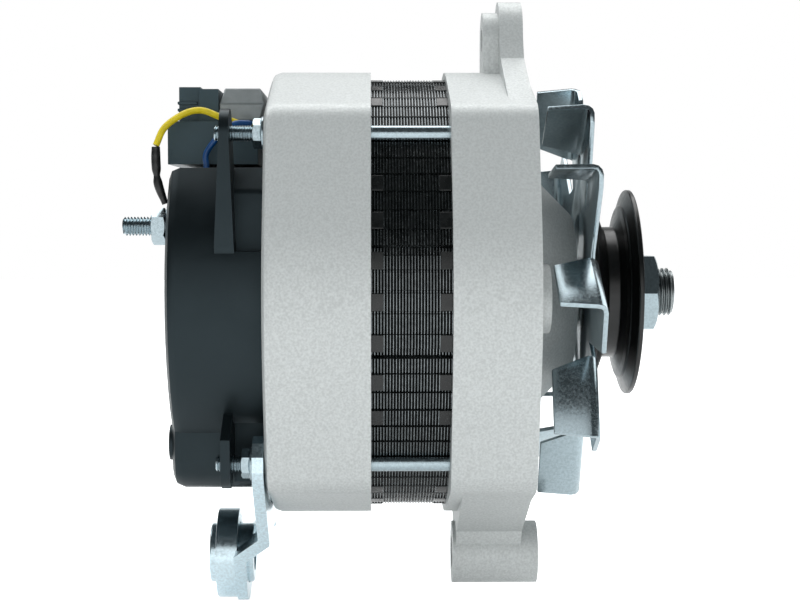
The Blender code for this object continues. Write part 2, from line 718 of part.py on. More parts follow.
def top_lug():
    """Adjusting lug: an upright plate with a round top on a wide foot, stepped in at the back."""
    centre = (0.0, TOP_LUG_HEIGHT)
    front = FRONT_RIM - TOP_LUG_SETBACK
    step = front - TOP_LUG_WIDTH * TOP_LUG_STEP
    side = TOP_LUG_RADIUS + TOP_LUG_SHOULDER
    shoulder = HOUSING_RADIUS + TOP_LUG_WAIST
    plate = (arc(TOP_LUG_RADIUS, 0.0, 180.0, 10, centre) + [(-side, shoulder)]
             + lobe_to_lobe(True) + [(side, shoulder)])
    lug = extruded("top_lug", [plate], front, step)
    narrow = TOP_LUG_RADIUS - TOP_LUG_WAIST
    base = HOUSING_BORE + SEAT_OVERLAP
    rear = arc(narrow, 0.0, 180.0, 8, centre) + [(-narrow, base), (narrow, base)]
    return join(lug, extruded("top_lug_rear", [rear], step + PASS, front - TOP_LUG_WIDTH))


def pivot_lug():
    """Pivot lug: a long boss for the hinge bolt at the foot of a wide web."""
    boss = turned("pivot_lug", [
        (PIVOT_BORE_RADIUS - PASS, PIVOT_BOSS_BACK + PIVOT_BOSS_LENGTH),
        (PIVOT_BOSS_RADIUS, PIVOT_BOSS_BACK + PIVOT_BOSS_LENGTH),
        (PIVOT_BOSS_RADIUS, PIVOT_BOSS_BACK),
        (PIVOT_BORE_RADIUS - PASS, PIVOT_BOSS_BACK),
    ], 24, True, (0.0, PIVOT_HEIGHT))
    shoulder = PIVOT_HEIGHT + PIVOT_WEB_RISE
    waist = math.sqrt(PIVOT_BOSS_RADIUS ** 2 - PIVOT_WEB_RISE ** 2) - SINK_IN / 2
    wide = waist + PIVOT_WEB_FLARE
    flare = shoulder + PIVOT_WEB_RISE + PASS
    outline = [(-waist, shoulder), (-wide, flare)] + lobe_to_lobe(False) + [(wide, flare), (waist, shoulder)]
    return join(boss, extruded("pivot_web", [outline], FRONT_RIM - PIVOT_WEB_SETBACK,
                               FRONT_JOINT + PIVOT_BOSS_REAR + PASS))


def wall_pad(side):
    """Cast pad that stands proud of the front wall beside the hub."""
    reach = WALL_PAD_REACH - WALL_PAD_HALF_HEIGHT
    outline = (arc(WALL_PAD_HALF_HEIGHT, -90.0, 90.0, 7, (reach, 0.0))
               + [(CONE_TIP_RADIUS, WALL_PAD_HALF_HEIGHT), (CONE_TIP_RADIUS, -WALL_PAD_HALF_HEIGHT)])
    return extruded(f"wall_pad_{side}", [[(side * y, z) for y, z in outline]],
                    FRONT_RIM + WALL_PAD_RISE, FRONT_RIM - WALL_OVERLAP)


def rear_housing():
    """Slip-ring-end casting: lobed rim with a rounded rear edge, windowed wall and bearing hub."""
    housing = extruded("rear_housing", [housing_outline(), circle(HOUSING_BORE, 36)],
                       REAR_JOINT, REAR_FACE)
    bevel_outer_edge(housing, REAR_EDGE_RADIUS, 2, -1, HOUSING_BORE + REAR_EDGE_RADIUS)
    pitch = 360.0 / REAR_WINDOW_COUNT
    windows = [sector(REAR_WINDOW_RADII, pitch * (index + 0.5), pitch - REAR_WINDOW_RIB_ANGLE)
               for index in range(REAR_WINDOW_COUNT)]
    wall_edges = [circle(HOUSING_BORE + WALL_OVERLAP, 36), circle(REAR_HUB_RADIUS - WALL_OVERLAP, 28)]
    join(housing, extruded("rear_wall", wall_edges + windows, REAR_FACE + END_WALL, REAR_FACE + SINK_IN))
    seat = REAR_BEARING_RADIUS + SEAT
    lip = REAR_JOURNAL_RADIUS + REAR_HUB_LIP
    hub = [
        (seat, REAR_BEARING_FACE + PASS),
        (REAR_HUB_RADIUS, REAR_BEARING_FACE + PASS),
        (REAR_HUB_RADIUS, REAR_HUB_BACK),
        (lip, REAR_HUB_BACK),
        (lip, REAR_BEARING_BACK - SEAT),
        (seat, REAR_BEARING_BACK - SEAT),
    ]
    join(housing, turned("rear_hub", hub, 24))
    cut(housing, rod("stator_seat_rear", STATOR_RADIUS + SEAT, REAR_JOINT + PASS,
                     STATOR_REAR - SEAT, 48))
    for index, place in enumerate(bolt_places()):
        cut(housing, rod(f"rear_bolt_hole_{index}", BOLT_RADIUS + SEAT, REAR_JOINT + PASS,
                         REAR_FACE - PASS, 10, place))
    merge_flats(housing)
    paint(housing, "cast aluminium")
    return shade_round(housing)


def stator_core():
    """Stack of laminations: fluted and notched outside, slotted inside."""
    pitch = 360.0 / SLOT_COUNT
    outside = []
    notch = BOLT_RADIUS + BOLT_NOTCH_CLEARANCE
    for index in range(SLOT_COUNT):
        middle = pitch * (index + 0.5)
        if abs(middle % 90.0 - 45.0) < 0.1:
            turn = math.degrees(math.acos((BOLT_CIRCLE - STATOR_RADIUS) / notch))
            outside += arc(notch, middle + 180.0 + turn, middle + 180.0 - turn, 6,
                           polar(BOLT_CIRCLE, middle))
        else:
            half = math.degrees(FLUTE_WIDTH / 2 / STATOR_RADIUS)
            floor = STATOR_RADIUS - FLUTE_DEPTH
            outside += [polar(STATOR_RADIUS, middle - half), polar(floor, middle - half),
                        polar(floor, middle + half), polar(STATOR_RADIUS, middle + half)]
    inside = []
    for index in range(SLOT_COUNT):
        middle = pitch * (index + 0.5)
        mouth = math.degrees(math.asin(SLOT_WIDTH / 2 / STATOR_BORE))
        floor = math.degrees(math.asin(SLOT_WIDTH / 2 / SLOT_FLOOR))
        inside += [polar(STATOR_BORE, middle - mouth), polar(SLOT_FLOOR, middle - floor),
                   polar(SLOT_FLOOR, middle + floor), polar(STATOR_BORE, middle + mouth)]
    core = extruded("stator_core", [outside, inside], STATOR_FRONT, STATOR_REAR)
    return paint(core, "black lamination")


def stator_winding():
    """Three-phase winding: two rings of end turns joined by the conductors in the slots."""
    inner = STATOR_BORE + WINDING_SETBACK
    outer = HOUSING_BORE - WINDING_SETBACK - SINK_IN

    def end_turns(name, face, away):
        crown = face + away * WINDING_OVERHANG
        return turned(name, [
            (outer - WINDING_CROWN, crown), (outer, face), (inner, face),
            (inner + WINDING_CROWN, crown + away * PASS),
        ][::int(away)], 24)

    winding = end_turns("stator_winding", STATOR_FRONT + SEAT, 1.0)
    join(winding, end_turns("rear_end_turns", STATOR_REAR - SEAT, -1.0))
    mesh = bpy.data.meshes.new("slot_conductors")
    shape = bmesh.new()
    deep = SLOT_FLOOR - SEAT - SLOT_LINER
    near = inner + SLOT_LINER
    length = STATOR_FRONT - STATOR_REAR + 2 * WINDING_CROWN
    for index in range(SLOT_COUNT):
        bar = bmesh.ops.create_cube(shape, size=1.0)["verts"]
        bmesh.ops.scale(shape, vec=(deep - near, SLOT_WIDTH - 2 * SLOT_LINER, length), verts=bar)
        bmesh.ops.translate(shape, vec=((deep + near) / 2, 0.0, 0.0), verts=bar)
        turn = Matrix.Rotation(math.radians(360.0 / SLOT_COUNT * (index + 0.5)), 3, "Z")
        bmesh.ops.rotate(shape, matrix=turn, verts=bar)
    shape.to_mesh(mesh)
    shape.free()
    bars = add_object("slot_conductors", mesh, (ROTOR_MIDDLE, 0.0, 0.0), ALONG_SHAFT)
    join(winding, bars)
    merge_flats(winding)
    return paint(winding, "enamelled wire")


def bearing(prefix, bore, outside, width, face, ball_radius):
    """Deep-groove ball bearing: outer ring, inner ring and the balls in their cage."""
    back = face - width
    middle = (face + back) / 2
    pitch = (bore + outside) / 2
    groove = ball_radius + SEAT * 1.5
    lip = ball_radius * LIP_SHARE
    outer = turned(f"{prefix}_bearing_outer_ring", [
        (outside, face), (outside, back), (pitch + lip, back), (pitch + groove, middle),
        (pitch + lip, face),
    ], 20)
    inner = turned(f"{prefix}_bearing_inner_ring", [
        (pitch - lip, face), (pitch - groove, middle), (pitch - lip, back), (bore + SEAT, back),
        (bore + SEAT, face),
    ], 20)
    half_cage, cage_side = (ball_radius * share for share in CAGE_SHARES)
    cage = turned(f"{prefix}_ball_set", [
        (pitch + half_cage, middle + cage_side), (pitch + half_cage, middle - cage_side),
        (pitch - half_cage, middle - cage_side), (pitch - half_cage, middle + cage_side),
    ], 21)
    mesh = bpy.data.meshes.new(f"{prefix}_balls")
    shape = bmesh.new()
    for index in range(BALL_COUNT):
        ball = bmesh.ops.create_uvsphere(shape, u_segments=6, v_segments=4, radius=ball_radius)["verts"]
        place = polar(pitch, 360.0 / BALL_COUNT * (index + 0.5))
        bmesh.ops.translate(shape, vec=(place[0], place[1], 0.0), verts=ball)
    shape.to_mesh(mesh)
    shape.free()
    join(cage, add_object(f"{prefix}_balls", mesh, (middle, 0.0, 0.0), ALONG_SHAFT))
    for ring in (outer, inner, cage):
        paint(ring, "bright steel")
        shade_round(ring)


def retainer_screw_places():
    """The three screws that hold the front bearing's retainer."""
    return [polar(FRONT_BEARING_RADIUS + HUB_WALL / 2 + SINK_IN, 90.0 + 120.0 * index) for index in range(3)]


def bearing_retainer():
    """Plate behind the front bearing, with its three screws."""
    face = FRONT_BEARING_BACK - SEAT
    back = face - RETAINER_SHEET
    head = back - SEAT
    radius = RETAINER_SCREW_RADIUS
    holes = [circle(radius + SINK_IN, 8, place) for place in retainer_screw_places()]
    edges = [circle(FRONT_BEARING_RADIUS + HUB_WALL, 24), circle(FRONT_BEARING_RADIUS - RETAINER_OVERLAP, 24)]
    plate = extruded("bearing_retainer", edges + holes, face, back)
    paint(plate, "zinc-plated steel")
    for index, place in enumerate(retainer_screw_places()):
        screw = turned(f"retainer_screw_{index + 1}", [
            (0.0, face + RETAINER_SCREW_LENGTH), (radius, face + RETAINER_SCREW_LENGTH), (radius, head),
            (RETAINER_HEAD_RADIUS, head), (RETAINER_HEAD_RADIUS - SINK_IN, head - RETAINER_SHEET),
            (0.0, head - RETAINER_SHEET),
        ], 8, False, place)
        paint(screw, "zinc-plated steel")
        shade_round(screw)


def through_bolts():
    """Four long bolts through both housings, each with a flanged nut behind."""
    head_face = FRONT_RIM - BOLT_HEAD_RECESS + SEAT
    for index, place in enumerate(bolt_places()):
        below = place[1] < 0
        seat = STRAP_BACK if below else REAR_FACE
        tail = REAR_FACE - BOLT_TAIL
        drop, point = THREAD_POINT
        bolt = turned(f"through_bolt_{index + 1}", [
            (0.0, head_face + PASS), (BOLT_RADIUS, head_face + PASS), (BOLT_RADIUS, tail + point),
            (BOLT_RADIUS - drop, tail), (0.0, tail),
        ], 10, False, place)
        head = hexagon(f"bolt_head_{index + 1}", BOLT_HEAD_FLATS, head_face + BOLT_HEAD_LENGTH, head_face,
                       place)
        join(bolt, head)
        paint(bolt, "zinc-plated steel")
        shade_round(bolt)
        face = seat - SEAT
        nut = hexagon(f"through_bolt_nut_{index + 1}", NUT_FLATS, face - SINK_IN / 2, face - NUT_LENGTH,
                      place, 30.0)
        join(nut, rod(f"nut_flange_{index + 1}", NUT_FLANGE_RADIUS, face, face - NUT_FLANGE, 10, place))
        cut(nut, rod(f"nut_thread_{index + 1}", BOLT_RADIUS + SEAT, seat, seat - NUT_LENGTH - PASS,
                     8, place))
        paint(nut, "zinc-plated steel")


def cover_outline(inset):
    """Round cover with a flat top and a square chin, moved inwards by the inset."""
    radius = COVER_RADIUS - inset
    top = COVER_TOP - inset
    half = CHIN_HALF_WIDTH - inset
    floor = CHIN_FLOOR + inset
    corner = CHIN_CORNER - inset / 2
    start = math.degrees(math.asin(top / radius))
    meet = -math.degrees(math.acos(half / radius))
    right = arc(radius, start, meet, 11)
    turn = arc(corner, 0.0, -90.0, 3, (half - corner, floor + corner))
    side = right + turn
    return side + [(-y, z) for y, z in reversed(side)]


def ear(name, side, upper):
    """A flat tab that reaches from the cover out to a through bolt."""
    reach = BOLT_OFFSET
    tip = EAR_TIP_RADIUS
    if upper:
        neck = reach - EAR_NECK
        foot = POCKET_FLOOR - POCKET_SETBACK
        outline = (arc(tip, 0.0, 180.0, 7, (reach, reach))
                   + [(reach - tip, neck + EAR_ROOT), (reach - EAR_ROOT, neck), (reach, foot),
                      (reach + EAR_HEEL, foot - EAR_HEEL), (reach + tip, foot + EAR_HEEL)])
    else:
        side_face = CHIN_HALF_WIDTH - EAR_INSET
        top = LOWER_POCKET_TOP - EAR_HEEL
        outline = (arc(tip, 0.0, -180.0, 7, (reach, -reach))
                   + [(side_face, -reach - SINK_IN), (side_face, top), (reach - EAR_ROOT, top + 2 * EAR_HEEL),
                      (reach + tip, top)])
    outline = [(side * y, z) for y, z in outline]
    tab = extruded(name, [outline], EAR_FACE + SINK_IN / 2, EAR_FACE - EAR_THICKNESS)
    for vert in tab.data.vertices:
        drop = min(1.0, max(0.0, (reach - vert.co.y) / (reach - POCKET_FLOOR)))
        vert.co.z *= 1.0 + EAR_TAPER * drop if upper else 1.0
    return tab


def rear_cover():
    """Moulded cover over the rectifier: shell with pockets at the bolts, ears, slots and openings."""
    cover = extruded("rear_cover", [cover_outline(0.0)], COVER_FRONT, COVER_BACK)
    bevel_outer_edge(cover, COVER_EDGE, 2, -1, 0.0)
    hollow = extruded("cover_hollow", [cover_outline(COVER_WALL)], COVER_FRONT + PASS,
                      COVER_BACK + COVER_WALL)
    far = HOUSING_RADIUS
    for side in (-1, 1):
        for upper in (True, False):
            tag = f"{'upper' if upper else 'lower'}_{'far' if side > 0 else 'near'}"
            inner = POCKET_SIDE if upper else CHIN_HALF_WIDTH - COVER_EDGE
            low = POCKET_FLOOR if upper else -far
            high = far if upper else LOWER_POCKET_TOP
            for shape, use, grow in ((cover, "pocket", 0.0), (hollow, "pocket_wall", COVER_WALL)):
                spread = sorted((side * (inner - grow), side * far))
                cut(shape, box(f"{tag}_{use}", (EAR_FACE - grow, spread[0], low - grow),
                               (COVER_FRONT + 2 * PASS, spread[1], high + grow)))
    cut(cover, hollow)
    for side in (-1, 1):
        join(cover, ear(f"upper_ear_{side}", side, True))
        join(cover, ear(f"lower_ear_{side}", side, False))
    for index, place in enumerate(bolt_places()):
        cut(cover, rod(f"ear_hole_{index}", BOLT_RADIUS + SEAT, EAR_FACE + PASS,
                       EAR_FACE - EAR_THICKNESS - PASS, 10, place))
    holder = holder_ends()
    clear = HOLDER_CLEARANCE
    cut(cover, box("holder_opening",
                   (holder[0] - clear, -HOLDER_HALF_WIDTH - clear, COVER_TOP - COVER_WALL - PASS),
                   (holder[1] + clear, HOLDER_HALF_WIDTH + clear, COVER_TOP + PASS)))
    cut(cover, rod("stud_hole", STUD_RADIUS + STUD_CLEARANCE, COVER_BACK + COVER_WALL + PASS,
                   COVER_BACK - PASS, 12, STUD_PLACE))
    join(cover, rod("cover_plug", COVER_PLUG_RADIUS, COVER_BACK + PASS, COVER_BACK - COVER_PLUG_RISE, 14,
                    COVER_PLUG_PLACE))
    shape = bmesh.new()
    mesh = bpy.data.meshes.new("cover_slots")
    for index in range(COVER_SLOT_COUNT):
        angle = 360.0 / COVER_SLOT_COUNT * (index + 0.5)
        if abs(angle - 90.0) < PLATE_OPENING:
            continue
        slot_length, slot_width = COVER_SLOT_SIZE
        slot = bmesh.ops.create_cube(shape, size=1.0)["verts"]
        bmesh.ops.scale(shape, vec=(slot_length, slot_width, 4 * COVER_WALL), verts=slot)
        bmesh.ops.translate(shape, vec=(COVER_SLOT_CIRCLE, 0.0, 0.0), verts=slot)
        bmesh.ops.rotate(shape, matrix=Matrix.Rotation(math.radians(angle), 3, "Z"), verts=slot)
    shape.to_mesh(mesh)
    shape.free()
    cut(cover, add_object("cover_slots", mesh, (COVER_BACK, 0.0, 0.0), ALONG_SHAFT))
    cut(cover, lead_hole())
    merge_flats(cover)
    return paint(cover, "black nylon")


def lead_hole():
    """An upright cutter for the hole that the blue lead goes down through."""
    hole = rod("blue_lead_hole", LEAD_HOLE_RADIUS, COVER_WALL + PASS, -COVER_WALL - PASS, 8)
    hole.rotation_euler = (0.0, 0.0, 0.0)
    hole.location = (BLUE_ENTRY_STATION, -BLUE_ENTRY_SIDE, COVER_TOP)
    return hole


def holder_ends():
    """Stations of the brush holder's rear and front faces."""
    rear = OUTER_RING_FRONT - SLIP_RING_WIDTH / 2 - BRUSH_WIDTH / 2 - SEAT - HOLDER_END_WALL
    front = INNER_RING_FRONT - SLIP_RING_WIDTH / 2 + BRUSH_WIDTH / 2 + SEAT + HOLDER_END_WALL
    return rear, front


def brush_gear():
    """Brush holder with two channels, the two brushes and their springs."""
    rear, front = holder_ends()
    holder = box("brush_holder", (rear, -HOLDER_HALF_WIDTH, HOLDER_FLOOR),
                 (front, HOLDER_HALF_WIDTH, HOLDER_TOP))
    channel_top = HOLDER_TOP - HOLDER_ROOF
    for name, ring_front in (("inner", INNER_RING_FRONT), ("outer", OUTER_RING_FRONT)):
        middle = ring_front - SLIP_RING_WIDTH / 2
        half = BRUSH_WIDTH / 2
        deep = BRUSH_DEPTH / 2
        cut(holder, box(f"{name}_channel", (middle - half - SEAT, -deep - SEAT, HOLDER_FLOOR - PASS),
                        (middle + half + SEAT, deep + SEAT, channel_top)))
        brush = box(f"brush_{name}", (middle - half, -deep, BRUSH_TIP), (middle + half, deep, BRUSH_TOP))
        paint(brush, "carbon")
        low = BRUSH_TOP + SEAT + BRUSH_SPRING_WIRE
        high = channel_top - SEAT - BRUSH_SPRING_WIRE
        count = BRUSH_SPRING_TURNS * BRUSH_SPRING_SIDES
        helix = []
        for step in range(count + 1):
            angle = math.tau * step / BRUSH_SPRING_SIDES
            helix.append((middle + BRUSH_SPRING_RADIUS * math.cos(angle),
                          BRUSH_SPRING_RADIUS * math.sin(angle), low + (high - low) * step / count))
        paint(wire(f"brush_spring_{name}", helix, BRUSH_SPRING_WIRE, 0), "bright steel")
    paint(holder, "brown board")


def regulator():
    """Regulator on the cover: moulded case with a plug socket, and a sloping heat sink."""
    case = box("regulator_case", (CASE_REAR, -CASE_HALF_WIDTH, CASE_FLOOR),
               (CASE_FRONT, CASE_HALF_WIDTH, CASE_TOP))
    socket_rear = CASE_REAR + SOCKET_SETBACK
    socket_front = socket_rear + SOCKET_LENGTH
    frame_front = socket_front + FRAME_LENGTH
    side = UPPER_HALF_WIDTH
    join(case, box("plug_socket", (socket_rear, -side, CASE_TOP - PASS),
                   (socket_front + SEAT, side, CASE_TOP + SOCKET_HEIGHT)))
    join(case, box("socket_frame", (socket_front, -side - SOCKET_FLOOR, CASE_TOP - PASS),
                   (frame_front, side + SOCKET_FLOOR, CASE_TOP + FRAME_HEIGHT)))
    for number, level in enumerate(SOCKET_RIB_HEIGHTS):
        join(case, box(f"socket_rib_{number}",
                       (socket_rear - SOCKET_RIB_RISE, -side - SOCKET_RIB, CASE_TOP + level),
                       (socket_front - SOCKET_RIB, side + SOCKET_RIB, CASE_TOP + level + SOCKET_RIB)))
    inside = side - SOCKET_END_WALL
    cut(case, box("socket_mouth", (socket_rear + SOCKET_WALL, -inside, CASE_TOP + SOCKET_FLOOR),
                  (socket_front - SOCKET_WALL, inside, CASE_TOP + SOCKET_HEIGHT + PASS)))
    paint(case, "black nylon")
    sink_rear = frame_front + SEAT
    sink_front = sink_rear + SINK_LENGTH
    floor = CASE_TOP + SEAT
    high, low = SINK_HEIGHTS
    profile = [(sink_rear, floor), (sink_front, floor), (sink_front + SINK_NOSE, floor + low - PASS),
               (sink_front + PASS, floor + low), (sink_rear + SINK_BROW, floor + high),
               (sink_rear, floor + high - SINK_BROW)]
    width = side + SINK_SIDE_RISE
    sink = extruded("regulator_heat_sink", [profile], width, -width, True)
    paint(sink, "grey aluminium")


def claw_pole(name, facing):
    """Pole disc with six tapering claws reaching over the coil, and the hub under it."""
    half = POLE_LENGTH / 2
    disc = half - POLE_DISC
    inner = POLE_RADIUS - CLAW_THICKNESS
    bore = JOURNAL_RADIUS + SEAT
    hub = COIL_BORE - SEAT * 2
    reach = -half + CLAW_TIP_SETBACK
    profile = [
        (bore, half), (POLE_RADIUS - CLAW_CHAMFER, half), (POLE_RADIUS, half - CLAW_CHAMFER),
        (POLE_RADIUS, reach), (POLE_RADIUS - CLAW_TIP_BEVEL, reach), (inner, disc), (hub, disc),
        (hub, SEAT / 2), (bore, SEAT / 2),
    ]
    pole = turned(name, profile, 24)
    if facing < 0:
        pole.rotation_euler = (math.pi / 2, 0.0, -math.pi / 2)
    pole.location = (ROTOR_MIDDLE, 0.0, 0.0)
    root, tip = math.radians(CLAW_ROOT_ANGLE), math.radians(CLAW_TIP_ANGLE)
    pitch = math.tau / CLAW_COUNT
    top, low = half + PASS, reach - PASS
    margin = COIL_BORE / 5
    beyond = POLE_RADIUS / math.cos(pitch / 2)
    mesh = bpy.data.meshes.new(f"{name}_gaps")
    shape = bmesh.new()
    for index in range(CLAW_COUNT):
        middle = pitch * (index + 0.5)
        verts = []
        for level, spread, within in ((top, pitch / 2 - root, inner - margin),
                                      (low, pitch / 2 - tip, hub + margin)):
            for radius in (within, beyond):
                for sign in (-1, 1):
                    angle = middle + sign * spread
                    verts.append(shape.verts.new((radius * math.cos(angle), radius * math.sin(angle), level)))
        for face in ((0, 1, 3, 2), (4, 6, 7, 5), (0, 4, 5, 1), (2, 3, 7, 6), (0, 2, 6, 4), (1, 5, 7, 3)):
            shape.faces.new([verts[corner] for corner in face])
    bmesh.ops.recalc_face_normals(shape, faces=shape.faces)
    shape.to_mesh(mesh)
    shape.free()
    gaps = add_object(f"{name}_gaps", mesh, pole.location, pole.rotation_euler)
    cut(pole, gaps)
    if facing > 0:
        gaps.data.transform(Matrix.Rotation(pitch / 2, 4, "Z"))
    return paint(pole, "bright steel")


def rotor():
    """Shaft, claw poles, field coil and slip rings."""
    shoulder = REAR_BEARING_FACE + SEAT
    step = shoulder + SHAFT_COLLAR_LENGTH
    collar = REAR_JOURNAL_RADIUS + SHAFT_COLLAR_RISE
    point = THREAD_POINT[1]
    shaft = turned("rotor_shaft", [
        (0.0, 0.0), (THREAD_RADIUS - point, 0.0), (THREAD_RADIUS, -point), (THREAD_RADIUS, PULLEY_FACE),
        (JOURNAL_RADIUS, PULLEY_FACE), (JOURNAL_RADIUS, step), (collar, step), (collar, shoulder),
        (REAR_JOURNAL_RADIUS, shoulder), (REAR_JOURNAL_RADIUS, SLEEVE_FRONT + SEAT),
        (SHAFT_TAIL_RADIUS, SLEEVE_FRONT + SEAT), (SHAFT_TAIL_RADIUS, SHAFT_TAIL), (0.0, SHAFT_TAIL),
    ], 16, False)
    paint(shaft, "bright steel")
    shade_round(shaft)
    claw_pole("front_pole", 1)
    claw_pole("rear_pole", -1)
    half = POLE_LENGTH / 2 - POLE_DISC - SEAT
    front, back = ROTOR_MIDDLE + half, ROTOR_MIDDLE - half
    core = COIL_BORE + COIL_WALL
    bobbin = turned("coil_bobbin", [
        (COIL_BORE, front), (COIL_FLANGE_RADIUS, front), (COIL_FLANGE_RADIUS, front - COIL_WALL),
        (core, front - COIL_WALL), (core, back + COIL_WALL), (COIL_FLANGE_RADIUS, back + COIL_WALL),
        (COIL_FLANGE_RADIUS, back), (COIL_BORE, back),
    ], 18)
    paint(bobbin, "black nylon")
    front, back = front - COIL_WALL - SEAT, back + COIL_WALL + SEAT
    coil = turned("field_winding", [
        (core + SEAT, front), (WINDING_RADIUS, front), (WINDING_RADIUS, back), (core + SEAT, back),
    ], 18)
    paint(coil, "enamelled wire")
    sleeve_bore = SHAFT_TAIL_RADIUS + SEAT
    sleeve_back = SHAFT_TAIL + SINK_IN
    sleeve = turned("slip_ring_sleeve", [
        (sleeve_bore, SLEEVE_FRONT), (RING_SLEEVE_RADIUS, SLEEVE_FRONT), (RING_SLEEVE_RADIUS, sleeve_back),
        (sleeve_bore, sleeve_back),
    ], 16)
    paint(sleeve, "brown board")
    for name, front in (("inner", INNER_RING_FRONT), ("outer", OUTER_RING_FRONT)):
        ring = turned(f"{name}_slip_ring", [
            (RING_SLEEVE_RADIUS + SEAT, front), (SLIP_RING_RADIUS, front),
            (SLIP_RING_RADIUS, front - SLIP_RING_WIDTH), (RING_SLEEVE_RADIUS + SEAT, front - SLIP_RING_WIDTH),
        ], 16)
        paint(ring, "copper")
        shade_round(ring)
    for piece in (bobbin, coil, sleeve):
        shade_round(piece)


def fan_arms():
    """Tip angle and rim width of each of the fan's ten blades, unevenly spaced to run quietly.

    The second half repeats the first half a turn on, which keeps the fan in balance.
    """
    half = [(90.0, 0.004), (60.0, 0.001), (34.5, 0.002), (-3.0, 0.012), (-40.0, 0.009)]
    return [(angle + turn, rim) for turn in (0.0, 180.0) for angle, rim in half]


def cooling_fan():
    """Pressed fan: a star of arms in one sheet, each with a blade bent back towards the housing."""
    shape = bmesh.new()
    arms = sorted(fan_arms(), reverse=True)
    outline = []
    bends = []
    for (tip_angle, rim), (following, _) in zip(arms, arms[1:] + arms[:1]):
        gap = (tip_angle - following) % 360.0
        rim_angle = math.degrees(rim / FAN_RADIUS)
        widest = gap - FAN_BLADE_LEAD - FAN_ROOT_MARGIN
        root_angle = tip_angle - min(widest, FAN_ARM_ANGLE + rim_angle * FAN_ARM_FLARE)
        places = [
            (FAN_BLADE_FOOT_RADIUS, tip_angle + FAN_BLADE_LEAD),
            (FAN_RADIUS, tip_angle),
            (FAN_RADIUS - FAN_CORNER, tip_angle - rim_angle - 1.0),
            (FAN_ROOT_RADIUS + FAN_CORNER, root_angle),
            (FAN_ROOT_RADIUS, following + FAN_BLADE_LEAD + 1.0),
        ]
        corners = [shape.verts.new((*polar(radius, angle), 0.0)) for radius, angle in places]
        outline += corners
        bends.append(corners[:2])
    shape.faces.new(outline[::-1])
    for inner, tip in bends:
        edge = shape.edges.get((inner, tip))
        along = (tip.co - inner.co).normalized()
        outward = along.cross(Vector((0.0, 0.0, 1.0)))
        if outward.dot(Vector((*polar(1.0, math.degrees(math.atan2(tip.co.y, tip.co.x)) + 60.0), 0.0))) < 0:
            outward = -outward
        for step in range(FAN_BEND_STEPS):
            last, angle = (math.pi / 2 * turn / FAN_BEND_STEPS for turn in (step, step + 1))
            shift = (outward * (math.sin(angle) - math.sin(last))
                     + Vector((0.0, 0.0, 1.0)) * (math.cos(angle) - math.cos(last))) * FAN_BEND_RADIUS
            edge = next_edge(shape, edge, shift)
        edge = next_edge(shape, edge, Vector((0.0, 0.0, FAN_BEND_RADIUS - FAN_BLADE_DEPTH)))
        ends = sorted(edge.verts, key=lambda vert: vert.co.xy.length)
        ends[0].co += along * FAN_FOOT_TAPER
        ends[1].co -= along * FAN_TIP_TAPER
    bmesh.ops.scale(shape, vec=(-1.0, 1.0, 1.0), verts=shape.verts)
    bmesh.ops.recalc_face_normals(shape, faces=shape.faces)
    flat = max(shape.faces, key=lambda face: face.calc_area())
    if flat.normal.z < 0:
        bmesh.ops.reverse_faces(shape, faces=shape.faces)
    mesh = bpy.data.meshes.new("cooling_fan")
    shape.to_mesh(mesh)
    shape.free()
    fan = add_object("cooling_fan", mesh, (FAN_FACE, 0.0, 0.0), ALONG_SHAFT)
    sheet = fan.modifiers.new("Sheet", "SOLIDIFY")
    sheet.thickness = FAN_SHEET
    sheet.offset = -1.0
    sheet.use_even_offset = True
    sheet.use_quality_normals = True
    cut(fan, rod("fan_bore", JOURNAL_RADIUS + SEAT, FAN_FACE + PASS, FAN_FACE - FAN_SHEET - PASS, 24))
    return paint(fan, "zinc-plated steel")


def next_edge(shape, edge, shift):
    """Grow the sheet from a free edge and return the new free edge."""
    result = bmesh.ops.extrude_edge_only(shape, edges=[edge])["geom"]
    verts = [item for item in result if isinstance(item, bmesh.types.BMVert)]
    bmesh.ops.translate(shape, vec=shift, verts=verts)
    return [item for item in result if isinstance(item, bmesh.types.BMEdge)
            and all(vert in verts for vert in item.verts)][0]


